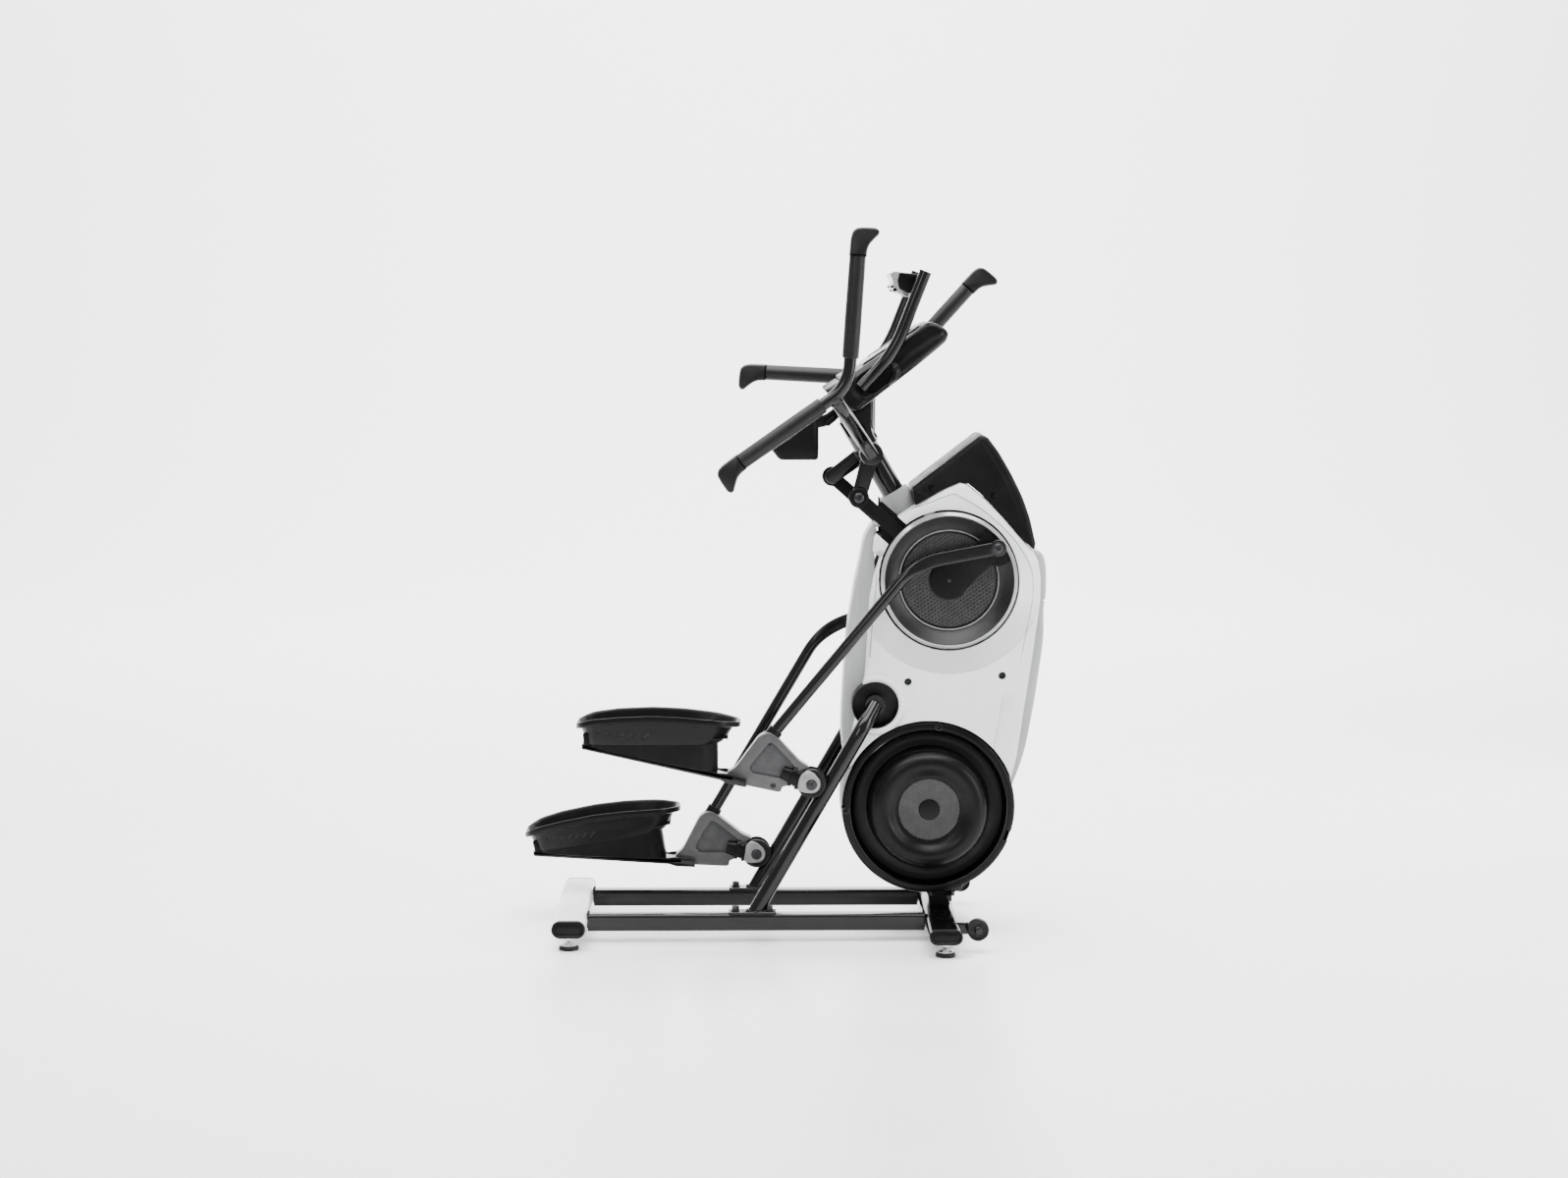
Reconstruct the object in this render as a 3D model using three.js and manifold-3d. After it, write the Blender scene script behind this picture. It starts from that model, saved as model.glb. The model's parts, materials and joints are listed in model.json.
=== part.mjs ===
// Stand-up elliptical trainer, millimetres, +Z up.
// +X is the machine's front, -Y the user's right, +Y the user's left.
// The origin is on the floor, under the middle of the bounding box.
import * as THREE from 'three';
import { mergeVertices } from 'three/addons/utils/BufferGeometryUtils.js';
import Module from 'manifold-3d';

const wasm = await Module();
wasm.setup();

const RIGHT = -1;
const LEFT = 1;
const SIDES = [['right', RIGHT], ['left', LEFT]];
const GAP = 0.3;
const radians = THREE.MathUtils.degToRad;

// ---------------------------------------------------------------- driving dimensions

const track = 144;                      // pedals, rails and rollers, out from the middle plane
const rearBar = { x: -494, z: 50, width: 78, height: 40, half: 250, capEnd: 262 };
const frontBar = { x: 365, z: 49, width: 76, height: 36, half: 338, capEnd: 350 };
const baseRail = { bottom: 26, top: 65, width: 42 };
const foot = { padRadius: 23, padHeight: 14, stemRadius: 6, rearY: 235, frontY: 318 };
const transportWheel = { x: 441, z: 54, radius: 25, inner: 270, outer: 296, axleRadius: 6 };

const crank = { x: 383, z: 837.5, throw: 134, phase: 35.4 };
const shaftRadius = 15;
const leg = { length: 692, plane: 151, tubeRadius: 13.5 };
const incline = { lean: 30, footX: -61, tubeRadius: 17.5, footZ: 76 };
const rollerWheel = { flange: 34, tread: 22.5, half: 24, groove: 18.6, bore: 8.4, axle: 8 };

const fan = { x: 338, z: 304.6, coverRadius: 202, wheelRadius: 160, pulleyRadius: 16 };
const drivePulleyRadius = 105;
const beltY = { inner: 36, outer: 46 };

const mastLean = 30;
const mastFoot = { x: 288, z: 983.4 };
const mastRadius = 26.5;
const mastLength = 268;
const handlePivot = { x: 203, z: 1129 };
const handleSwing = 38;                 // handlebar travel for half a crank turn
const handleArm = { length: 105.5, angle: 235.4 };
const grip = { bendAngle: 91.5, bendRadius: 171, lowAngle: 196, highAngle: 67, y: 275 };

const wall = 3;
const shellY = { inner: 62, outer: 105 };
const cheekY = { inner: 54, outer: 60 };
const eccentric = { x: -28.25, z: 19.5, radius: 52, inner: 81, outer: 87 };
const linkY = { inner: 88.5, outer: 96.5 };
const bowlY = { inner: 98, outer: 128 };
const bowlRadius = 160;

// ---------------------------------------------------------------- materials

const finish = (color, roughness, metalness = 0) =>
  new THREE.MeshStandardMaterial({ color, roughness, metalness });
const blackSteel = finish(0x121214, 0.35, 0.4);
const silverPaint = finish(0xc4c6c8, 0.35, 0.3);
const silverPlastic = finish(0xcfd1d3, 0.45);
const blackPlastic = finish(0x161618, 0.5);
const charcoalPlastic = finish(0x2c2c2f, 0.55);
const castGrey = finish(0x6d6e70, 0.5, 0.5);
const bareSteel = finish(0xa9abad, 0.3, 0.9);
const rubber = finish(0x1a1a1a, 0.9);

// ---------------------------------------------------------------- solids

// The measured layout sits a little behind the middle of the bounding box.
const centring = 2.5;

const machine = new THREE.Group();
machine.position.x = centring;

function signedVolume(positions, indices) {
  const [a, b, c] = [new THREE.Vector3(), new THREE.Vector3(), new THREE.Vector3()];
  let sum = 0;
  for (let i = 0; i < indices.length; i += 3) {
    a.fromArray(positions, 3 * indices[i]);
    b.fromArray(positions, 3 * indices[i + 1]);
    c.fromArray(positions, 3 * indices[i + 2]);
    sum += a.dot(b.cross(c));
  }
  return sum / 6;
}

// A closed three.js geometry as a manifold solid with its faces pointing out.
function solid(source) {
  const bare = source.clone();
  bare.deleteAttribute('normal');
  bare.deleteAttribute('uv');
  const merged = mergeVertices(bare, 1e-3);
  const vertProperties = new Float32Array(merged.attributes.position.array);
  const triVerts = new Uint32Array(merged.index.array);
  if (signedVolume(vertProperties, triVerts) < 0) {
    for (let i = 0; i < triVerts.length; i += 3) {
      [triVerts[i], triVerts[i + 1]] = [triVerts[i + 1], triVerts[i]];
    }
  }
  return new wasm.Manifold(new wasm.Mesh({ numProp: 3, vertProperties, triVerts }));
}

function geometryOf(shape) {
  const mesh = shape.getMesh();
  const result = new THREE.BufferGeometry();
  result.setAttribute('position', new THREE.BufferAttribute(mesh.vertProperties, 3));
  result.setIndex(new THREE.BufferAttribute(mesh.triVerts, 1));
  result.computeVertexNormals();
  return result;
}

const join = (...shapes) => shapes.reduce((whole, next) => whole.add(next));
const cut = (whole, ...tools) => tools.reduce((rest, tool) => rest.subtract(tool), whole);

function add(name, shape, material, parent = machine) {
  const mesh = new THREE.Mesh(geometryOf(shape), material);
  mesh.name = name;
  parent.add(mesh);
  return mesh;
}

// [x, z] at an angle measured from +X towards +Z.
function polar(angle, radius, centre = [0, 0]) {
  const a = radians(angle);
  return [centre[0] + radius * Math.cos(a), centre[1] + radius * Math.sin(a)];
}

const ordered = (side, inner, outer) => (side > 0 ? [inner, outer] : [-outer, -inner]);

// An outline in the XZ plane, thick along Y from y0 to y1.
function slab(outline, y0, y1) {
  const shape = new THREE.Shape(outline.map(([x, z]) => new THREE.Vector2(x, z)));
  const plate = new THREE.ExtrudeGeometry(shape, { depth: y1 - y0, bevelEnabled: false });
  plate.rotateX(Math.PI / 2);
  plate.translate(0, y1, 0);
  return solid(plate);
}

const sideSlab = (outline, side, inner, outer) => slab(outline, ...ordered(side, inner, outer));

function box(x0, x1, y0, y1, z0, z1) {
  const block = new THREE.BoxGeometry(x1 - x0, y1 - y0, z1 - z0);
  block.translate((x0 + x1) / 2, (y0 + y1) / 2, (z0 + z1) / 2);
  return solid(block);
}

// A round disc or drum about an axis along Y through [x, z].
function drum(centre, radius, y0, y1, segments = 32) {
  const cylinder = new THREE.CylinderGeometry(radius, radius, y1 - y0, segments);
  cylinder.translate(centre[0], (y0 + y1) / 2, centre[1]);
  return solid(cylinder);
}

const sideDrum = (centre, radius, side, inner, outer, segments) =>
  drum(centre, radius, ...ordered(side, inner, outer), segments);

// A turned piece about an axis along Y through [x, z]; the profile is [radius, y].
function turned(profile, centre, side, segments) {
  const points = profile.map(([r, y]) => new THREE.Vector2(r, side * y));
  const form = new THREE.LatheGeometry(points, segments);
  form.translate(centre[0], 0, centre[1]);
  return solid(form);
}

// A turned piece about a vertical axis; the profile is [radius, z].
function post(profile, x, y, segments = 10) {
  const form = new THREE.LatheGeometry(profile.map(([r, z]) => new THREE.Vector2(r, z)), segments);
  form.rotateX(Math.PI / 2);
  form.translate(x, y, 0);
  return solid(form);
}

// A route of straight runs with rounded corners, which has its stations only where
// it bends and at its ends.
class BentRoute extends THREE.Curve {
  constructor(points, bend, bendSteps) {
    super();
    const at = points.map(([x, y, z]) => new THREE.Vector3(x, y, z));
    const last = at.length - 1;
    this.stations = [[at[0], at[1].clone().sub(at[0]).normalize()]];
    for (let i = 1; i < last; i += 1) {
      const before = at[i].clone().add(at[i - 1].clone().sub(at[i]).setLength(bend));
      const after = at[i].clone().add(at[i + 1].clone().sub(at[i]).setLength(bend));
      const corner = new THREE.QuadraticBezierCurve3(before, at[i], after);
      for (let k = 0; k <= bendSteps; k += 1) {
        this.stations.push([corner.getPoint(k / bendSteps), corner.getTangent(k / bendSteps)]);
      }
    }
    this.stations.push([at[last], at[last].clone().sub(at[last - 1]).normalize()]);
  }

  station(u) {
    return this.stations[Math.round(u * (this.stations.length - 1))];
  }

  getPointAt(u) {
    return this.station(u)[0].clone();
  }

  getTangentAt(u) {
    return this.station(u)[1].clone();
  }
}

function circle(radius, sides) {
  return new THREE.Shape(Array.from({ length: sides }, (_, i) => {
    const a = (2 * Math.PI * (i + 0.5)) / sides;
    return new THREE.Vector2(radius * Math.cos(a), radius * Math.sin(a));
  }));
}

function tube(points, radius, bend, sides = 12, bendSteps = 4) {
  const route = new BentRoute(points, bend, bendSteps);
  const steps = route.stations.length - 1;
  return solid(new THREE.ExtrudeGeometry(circle(radius, sides), { extrudePath: route, steps }));
}

const rod = (from, to, radius, sides) => tube([from, to], radius, 0, sides);

// A bar's outline with round ends, from one point to the other in the XZ plane.
function barOutline(from, to, fromRadius, toRadius, segments = 6) {
  const along = Math.atan2(to[1] - from[1], to[0] - from[0]) * THREE.MathUtils.RAD2DEG;
  const reach = Math.hypot(to[0] - from[0], to[1] - from[1]);
  const open = Math.acos((fromRadius - toRadius) / reach) * THREE.MathUtils.RAD2DEG;
  const points = [];
  for (let i = 0; i <= segments; i += 1) {
    points.push(polar(along + open + (i * (360 - 2 * open)) / segments, fromRadius, from));
  }
  for (let i = 0; i <= segments; i += 1) {
    points.push(polar(along - open + (i * 2 * open) / segments, toRadius, to));
  }
  return points;
}

// The outline moved inwards by a distance, for the hollow of a shell.
function inset(outline, distance) {
  const count = outline.length;
  let area = 0;
  outline.forEach(([x, z], i) => {
    const [nx, nz] = outline[(i + 1) % count];
    area += x * nz - nx * z;
  });
  const turn = Math.sign(area);
  return outline.map((point, i) => {
    const prev = outline[(i + count - 1) % count];
    const next = outline[(i + 1) % count];
    const a = new THREE.Vector2(point[0] - prev[0], point[1] - prev[1]).normalize();
    const b = new THREE.Vector2(next[0] - point[0], next[1] - point[1]).normalize();
    const normal = new THREE.Vector2(-a.y - b.y, a.x + b.x).multiplyScalar(turn).normalize();
    const reach = distance / Math.max(0.5, normal.dot(new THREE.Vector2(-a.y, a.x)) * turn);
    return [point[0] + normal.x * reach, point[1] + normal.y * reach];
  });
}

// A bar of flat oval section lying along Y.
function ovalBar({ x, z, width, height }, y0, y1) {
  const reach = (width - height) / 2;
  return slab(barOutline([x - reach, z], [x + reach, z], height / 2, height / 2), y0, y1);
}

// ---------------------------------------------------------------- base frame

function buildBase() {
  add('rear_stabiliser', ovalBar(rearBar, -rearBar.half, rearBar.half), silverPaint);
  const wheelTab = (side) => {
    const { x, z, inner, outer, axleRadius } = transportWheel;
    const plate = sideSlab(barOutline([frontBar.x, z], [x, z], 13, 13), side, inner - 8, inner - 2);
    const axle = sideDrum([x, z], axleRadius, side, inner - 4, outer + 1, 12);
    const head = sideDrum([x, z], 9, side, outer + 0.5, outer + 4, 12);
    return join(plate, axle, head);
  };
  const frontTube = ovalBar(frontBar, -frontBar.half, frontBar.half);
  add('front_stabiliser', join(frontTube, wheelTab(RIGHT), wheelTab(LEFT)), blackSteel);
  for (const [name, side] of SIDES) {
    for (const [end, bar] of [['rear', rearBar], ['front', frontBar]]) {
      const cap = ovalBar(bar, ...ordered(side, bar.half + GAP, bar.capEnd));
      add(`${end}_end_cap_${name}`, cap, blackPlastic);
    }
    const y = side * track;
    const rail = box(
      rearBar.x + rearBar.width / 2 + 0.6, frontBar.x - frontBar.width / 2 - 0.6,
      y - baseRail.width / 2, y + baseRail.width / 2, baseRail.bottom, baseRail.top);
    add(`base_rail_${name}`, rail, blackSteel);
    const { x, z, radius, inner, outer, axleRadius } = transportWheel;
    const wheel = turned([
      [axleRadius + GAP, inner], [radius - 3, inner], [radius, inner + 4],
      [radius, outer - 4], [radius - 3, outer], [axleRadius + GAP, outer],
      [axleRadius + GAP, inner]], [x, z], side, 16);
    add(`transport_wheel_${name}`, wheel, rubber);
  }
}

function buildFeet() {
  const spots = [
    ['rear', rearBar, foot.rearY], ['front', frontBar, foot.frontY]];
  for (const [end, bar, y] of spots) {
    const top = bar.z - bar.height / 2 - GAP;
    const profile = [
      [0, 0], [foot.padRadius, 0], [foot.padRadius, 5], [foot.padRadius - 4, foot.padHeight],
      [foot.stemRadius, foot.padHeight], [foot.stemRadius, top - 5], [12, top - 5], [12, top], [0, top]];
    for (const [name, side] of SIDES) {
      add(`${end}_levelling_foot_${name}`, post(profile, bar.x, side * y), rubber);
    }
  }
}

// ---------------------------------------------------------------- main frame and mast

const railHub = [213, 546];

function mastPoint(along, across = 0) {
  const lean = radians(mastLean);
  return [
    mastFoot.x - along * Math.sin(lean) + across * Math.cos(lean),
    mastFoot.z + along * Math.cos(lean) + across * Math.sin(lean)];
}

function buildMainFrame() {
  const cheek = [
    [342, 88], [402, 88], [402, 240], [378, 330], [425, 790], [425, 875], [352, 962],
    [292, 932], [335, 800], [300, 330], [300, 270], [342, 200]];
  const axleHoles = [
    drum([crank.x, crank.z], shaftRadius + 1, -70, 70, 16),
    drum([fan.x, fan.z], 10.5, -70, 70, 14)];
  const plates = SIDES.map(([, side]) => sideSlab(cheek, side, cheekY.inner, cheekY.outer));
  const socket = slab(
    [mastPoint(-GAP, -27), mastPoint(-GAP, 27), mastPoint(-56, 27), mastPoint(-56, -27)],
    -cheekY.outer, cheekY.outer);
  const sole = box(342, 402, -cheekY.outer, cheekY.outer, 88, 108);
  const column = box(345, 399, -25, 25, frontBar.z + frontBar.height / 2 + GAP, 90);
  const spreader = box(348, 372, -cheekY.outer, cheekY.outer, 528, 564);
  const arm = box(railHub[0], 350, -18, 18, 530, 562);
  const hubTube = drum(railHub, 24, -110, 110, 18);
  const frame = cut(join(...plates, socket, sole, column, spreader, arm, hubTube), ...axleHoles);
  add('main_frame', frame, blackSteel);
}

function buildMast() {
  const [x0, z0] = mastPoint(0);
  const [x1, z1] = mastPoint(mastLength);
  const pivot = [handlePivot.x, handlePivot.z];
  const upright = rod([x0, 0, z0], [x1, 0, z1], mastRadius, 18);
  const housing = drum(pivot, 24, -58, 58, 18);
  const pivotShaft = drum(pivot, 10, -103, 103, 14);
  add('mast', join(upright, housing, pivotShaft), blackSteel);

  const [ax, az] = mastPoint(4);
  const [bx, bz] = mastPoint(62);
  const skirt = rod([ax, 0, az], [bx, 0, bz], 38, 20);
  const bore = rod(
    [mastPoint(-5)[0], 0, mastPoint(-5)[1]], [mastPoint(70)[0], 0, mastPoint(70)[1]],
    mastRadius + 1, 18);
  const frontFlat = box(296.5, 400, -60, 60, 900, 1100);
  add('mast_collar', cut(skirt, bore, frontFlat), silverPlastic);
}

// ---------------------------------------------------------------- inclined rails

function buildInclinedRails() {
  const up = [Math.sin(radians(incline.lean)), Math.cos(radians(incline.lean))];
  const floor = baseRail.top + GAP;
  const axisPoint = (z) => [incline.footX + ((z - incline.footZ) * up[0]) / up[1], z];
  for (const [name, side] of SIDES) {
    const [startX, startZ] = axisPoint(40);
    const [kneeX, kneeZ] = axisPoint(496);
    const rail = tube([
      [startX, side * track, startZ], [kneeX, side * track, kneeZ],
      [railHub[0], side * 111, railHub[1]]], incline.tubeRadius, 22, 12, 3);
    const trimmed = cut(rail, box(-150, 50, -250, 250, 0, floor));
    const plate = box(-128, -18, side * track - 21, side * track + 21, floor, floor + 5);
    const bolts = [-112, -34].map((x) =>
      post([[0, floor + 4], [8, floor + 4], [8, floor + 13], [0, floor + 13]], x, side * track, 6));
    add(`inclined_rail_${name}`, cut(join(trimmed, plate, ...bolts),
      sideDrum(railHub, 40, side, 0, 110 + GAP, 8)), blackSteel);
  }
}

// ---------------------------------------------------------------- shroud

const fanCentre = [fan.x, fan.z];
const crankCentre = [crank.x, crank.z];
const hubRing = { radius: 70, opening: 55 };

const coverLine = [
  [303, 1010], [371, 1048], [407, 1064], [425, 1060], [469, 1024], [510, 981], [551, 933], [577, 907]];

function buildSideShells() {
  const outline = [
    [228, 960], ...coverLine, [591, 880], [597, 840], [596, 787], [576, 643], [562, 553],
    [543, 422], [520, 330], [420, 380], [260, 380], [150, 400], [160, 480], [189, 611],
    [192, 645], [200, 794], [210, 848], [224, 892], [207, 899], [210, 940]];
  const linkLine = -41.5;
  for (const [name, side] of SIDES) {
    const { inner, outer } = shellY;
    const rim = sideDrum(railHub, hubRing.radius, side, inner, outer, 28);
    const body = join(sideSlab(outline, side, inner, outer), rim);
    const hollow = sideSlab(inset(outline, wall), side, inner - 1, outer - wall);
    const pocketFloor = 76;
    const pocketWall = sideDrum(crankCentre, bowlRadius + 6, side, pocketFloor, outer, 28);
    const slotOutline = (reach) => {
      const far = polar(linkLine + 180, 330, crankCentre);
      return barOutline(crankCentre, far, reach, reach, 4);
    };
    const slotWall = sideSlab(slotOutline(34), side, pocketFloor, outer);
    const hubWall = sideDrum(railHub, hubRing.opening + wall, side, inner, outer, 20);
    const walls = join(pocketWall, slotWall, hubWall).intersect(body);
    const posts = [20, -80, 190].map((angle) =>
      sideDrum(polar(angle, 150, crankCentre), 6, side, pocketFloor, bowlY.inner - GAP, 6));
    const shell = cut(
      join(cut(body, hollow), walls),
      sideDrum(crankCentre, bowlRadius + 3, side, pocketFloor + wall, outer + 1, 28),
      sideSlab(slotOutline(31), side, pocketFloor + wall, outer + 1),
      sideDrum(crankCentre, shaftRadius + 3, side, 0, 120, 16),
      sideDrum(railHub, hubRing.opening, side, 0, 120, 20),
      sideDrum(fanCentre, fan.coverRadius + 2.5, side, 0, 120, 40));
    add(`side_shell_${name}`, join(shell, ...posts), silverPlastic);
  }
}

function buildCentreCovers() {
  const half = shellY.inner - 0.5;
  const fanSpace = drum(fanCentre, fan.coverRadius + 2.5, -half - 1, half + 1, 40);
  const channel = (silhouette, mouth) => {
    const outer = slab([...silhouette, ...mouth], -half, half);
    const shift = Math.sign(mouth[0][0] - silhouette[0][0]) * wall;
    const inner = [...silhouette, ...mouth].map(([x, z]) => [x + shift, z]);
    const first = inner[0];
    const last = inner[silhouette.length - 1];
    inner[0] = [first[0] + shift, first[1] - wall];
    inner[silhouette.length - 1] = [last[0], last[1] - 20];
    const hollow = slab(inner, wall - half, half - wall);
    return cut(outer, hollow, fanSpace);
  };
  const rear = channel(
    [[208, 965], [190, 933], [179, 881], [165, 815], [153, 739], [145, 663], [138, 557],
      [136, 474], [146, 400], [165, 350]],
    [[232, 350], [232, 965]]);
  add('rear_centre_cover', cut(rear, drum(railHub, 27, -70, 70, 28)), silverPlastic);
  const front = channel(
    [[585, 903], [603, 895], [612, 870], [613.5, 835], [613, 800], [608.5, 767], [608, 696],
      [597, 608], [583, 518], [563, 421], [530, 330]],
    [[500, 330], [540, 903]]);
  add('front_centre_cover', front, silverPlastic);
}

function buildTopCover() {
  const crown = [
    [298, 1052], [449, 1168], [457, 1172], [466, 1170], [473, 1166], [498, 1133],
    [526, 1085], [553, 1031], [571, 981], [585, 921], [583, 909]];
  const seam = coverLine.map(([x, z]) => [x + 0.8, z + 1]).reverse();
  const outline = [...crown, ...seam];
  const half = 99;
  const outer = slab(outline, -half, half);
  const hollow = slab(inset(outline, wall), wall - half, half - wall);
  const mouth = slab(
    [[330, 1035], [407, 1075], [425, 1070], [520, 980], [560, 930], [560, 900], [330, 900]],
    wall - half, half - wall);
  add('top_cover', cut(outer, hollow, mouth), charcoalPlastic);
}

function buildCrankBowls() {
  const { inner, outer } = bowlY;
  const profile = [
    [bowlRadius, inner], [bowlRadius, outer], [149, outer], [118, inner + 3], [118, inner],
    [121, inner], [150.2, outer - wall], [157.5, outer - wall], [157.5, inner],
    [bowlRadius, inner]];
  for (const [name, side] of SIDES) {
    add(`crank_bowl_${name}`, turned(profile, crankCentre, side, 30), blackPlastic);
  }
}

function buildFanCovers() {
  const outerFace = [
    [0, 133], [74, 136], [92, 149], [105, 152], [122, 149], [150, 110], [165, 104],
    [198, 104], [fan.coverRadius, 97], [fan.coverRadius, GAP]];
  const innerFace = [
    [199, GAP], [199, 96], [196, 101], [164, 101], [147, 107.5], [119, 146],
    [105, 149], [93, 146], [75, 133], [0, 130]];
  for (const [name, side] of SIDES) {
    const cover = turned([...outerFace, ...innerFace], fanCentre, side, 24);
    const insideShroud = box(100, 600, ...ordered(side, 0, shellY.inner), 385, 520);
    const frameNotch = box(335, 409, ...ordered(side, 0, shellY.inner), 80, 120);
    add(`fan_cover_${name}`, cut(cover, insideShroud, frameNotch), blackPlastic);
  }
}

// ---------------------------------------------------------------- drive inside the shroud

const eccentricCentre = (side) => [crank.x + side * eccentric.x, crank.z + side * eccentric.z];

function buildDrive() {
  const shaft = drum(crankCentre, shaftRadius, -103, 103, 20);
  const lobes = SIDES.map(([, side]) => sideDrum(
    eccentricCentre(side), eccentric.radius, side, eccentric.inner, eccentric.outer, 28));
  add('crankshaft', join(shaft, ...lobes), bareSteel);

  const { inner, outer } = beltY;
  const pulleyProfile = [
    [shaftRadius + GAP, inner - 14], [32, inner - 14], [32, inner + 2],
    [drivePulleyRadius - 12, inner + 2], [drivePulleyRadius - 12, inner], [drivePulleyRadius, inner],
    [drivePulleyRadius, outer], [drivePulleyRadius - 12, outer], [drivePulleyRadius - 12, outer - 2],
    [shaftRadius + GAP, outer - 2], [shaftRadius + GAP, inner - 14]];
  add('drive_pulley', turned(pulleyProfile, crankCentre, LEFT, 24), blackPlastic);

  const beltOutline = (extra) => barOutline(
    fanCentre, crankCentre, fan.pulleyRadius + extra, drivePulleyRadius + extra, 16);
  const belt = cut(slab(beltOutline(3.4), inner + 1, outer - 1), slab(beltOutline(1.3), inner, outer));
  add('drive_belt', belt, rubber);

  const rim = fan.wheelRadius;
  const wheelProfile = [
    [0, -53], [9.5, -53], [9.5, -24], [rim - 22, -12], [rim - 22, -26], [rim, -26], [rim, 10],
    [rim - 22, 10], [rim - 22, -4], [fan.pulleyRadius, 14], [fan.pulleyRadius, 50], [9.5, 50],
    [9.5, 53], [0, 53]];
  add('fan_wheel', turned(wheelProfile, fanCentre, LEFT, 22), castGrey);
}

// ---------------------------------------------------------------- cranks

// The arm steps outwards from the hub, deep in the bowl, to the tip in front of the rim.
function crankArmShape(side) {
  const tip = [crank.throw, 0];
  const plan = sideSlab(barOutline([0, 0], tip, 43, 16, 14), side, 100, 140);
  const steps = [
    [-60, 104], [58, 104], [116, 128.8], [152, 128.8], [152, 136], [112, 136], [52, 112], [-60, 112]];
  const profile = new THREE.Shape(steps.map(([x, y]) => new THREE.Vector2(x, side * y)));
  const bent = new THREE.ExtrudeGeometry(profile, { depth: 120, bevelEnabled: false });
  bent.translate(0, 0, -60);
  return plan.intersect(solid(bent));
}

function buildCranks() {
  for (const [name, side] of SIDES) {
    const arm = new THREE.Group();
    arm.position.set(crank.x, 0, crank.z);
    arm.rotation.y = -radians(crank.phase + (side === LEFT ? 180 : 0));
    machine.add(arm);
    add(`crank_arm_${name}`, crankArmShape(side), charcoalPlastic, arm);
    const disc = turned(
      [[shaftRadius + 0.4, 99.5], [114, 99.5], [114, 103], [shaftRadius + 0.4, 103],
        [shaftRadius + 0.4, 99.5]], [0, 0], side, 24);
    add(`crank_disc_${name}`, disc, blackPlastic, arm);
  }
}

// ---------------------------------------------------------------- legs, rollers and pedals

// The roller's axle lies on a line beside the inclined rail; this is the point on it
// that is a leg's length away from the crank pin.
function rollerPoint(pin) {
  const up = new THREE.Vector2(Math.sin(radians(incline.lean)), Math.cos(radians(incline.lean)));
  const off = incline.tubeRadius + rollerWheel.tread + 0.2;
  const start = new THREE.Vector2(incline.footX - off * up.y, incline.footZ + off * up.x);
  const toPin = new THREE.Vector2(...pin).sub(start);
  const along = toPin.dot(up);
  const across = toPin.lengthSq() - along * along;
  const reach = along - Math.sqrt(leg.length ** 2 - across);
  return [start.x + reach * up.x, start.y + reach * up.y];
}

const rightPin = polar(crank.phase, crank.throw, crankCentre);
const leftPin = polar(crank.phase + 180, crank.throw, crankCentre);
const rightRoller = rollerPoint(rightPin);
const leftRoller = rollerPoint(leftPin);
const slope = (from, to) => Math.atan2(to[0] - from[0], to[1] - from[1]);
const legTurn = slope(rightRoller, rightPin) - slope(leftRoller, leftPin);

// Shapes below are in the leg's own frame: the origin is on the roller's axle.
const pin = [rightPin[0] - rightRoller[0], rightPin[1] - rightRoller[1]];
const legBend = [239, 507];
const legFoot = [-94, 106];

function legShape(side) {
  const bar = sideSlab(barOutline(pin, legBend, 19.5, 15.5, 10), side, 139, 152);
  const boltCap = sideDrum(pin, 12, side, 151, 157, 20);
  const tubeEnd = [legFoot[0], side * leg.plane, legFoot[1]];
  const tubeStart = [pin[0] - 150, side * leg.plane, pin[1] - 30];
  const shank = tube([tubeStart, [legBend[0], side * leg.plane, legBend[1]], tubeEnd],
    leg.tubeRadius, 38, 12, 3);
  const trimmedShank = cut(shank, sideDrum(pin, 138, side, 120, 180, 40));
  const bracket = [
    [-106, 118], [-86, 120], [-14, 44], [-10, -22], [-90, -16], [-195, 8], [-195, 21], [-178, 28]];
  const body = cut(sideSlab(bracket, side, 124, 166),
    sideDrum([0, 0], rollerWheel.flange + 3, side, 100, 190, 24));
  const yoke = cut(sideSlab([[-78, 46], [-36, 52], [-36, -22], [-78, -16]], side, 112, 178),
    sideDrum([0, 0], rollerWheel.flange + 3, side, 100, 190, 24));
  const fork = (inner, outer) => sideSlab(barOutline([-50, 14], [0, 0], 22, 23, 8), side, inner, outer);
  const tread = sideSlab(
    [[-528, 95], [-528, 87], [-205, 14], [-180, 10], [-180, 20], [-205, 24]], side, track - 40, track + 40);
  const whole = join(bar, boltCap, trimmedShank, body, yoke, fork(112, 119.4), fork(168.6, 178), tread);
  return cut(whole, sideDrum([0, 0], rollerWheel.bore, side, 100, 190, 14));
}

function pedalShape(side) {
  const rimTop = [
    [-541, 141], [-537, 150], [-504, 157], [-448, 163], [-368, 165], [-300, 161], [-225, 154],
    [-163, 149], [-163, 139]];
  const tray = [...rimTop, [-184, 99], [-198, 96.5], [-526, 96.5], [-532, 120]];
  const wedge = [[-524, 97], [-198, 97], [-198, 23.6], [-526, 95.6]];
  const hollow = [[-530, 104], [-200, 104], [-176, 175], [-538, 175]];
  const outer = sideSlab(tray, side, track - 82, track + 82);
  const underside = sideSlab(wedge, side, track - 55, track + 55);
  return cut(join(outer, underside), sideSlab(hollow, side, track - 75, track + 75));
}

function rollerProfile() {
  const { flange, tread, half, groove, bore } = rollerWheel;
  return [
    [bore, track - half], [flange, track - half], [flange, track - groove - 1], [tread, track - groove],
    [tread, track + groove], [flange, track + groove + 1], [flange, track + half],
    [bore, track + half], [bore, track - half]];
}

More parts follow.
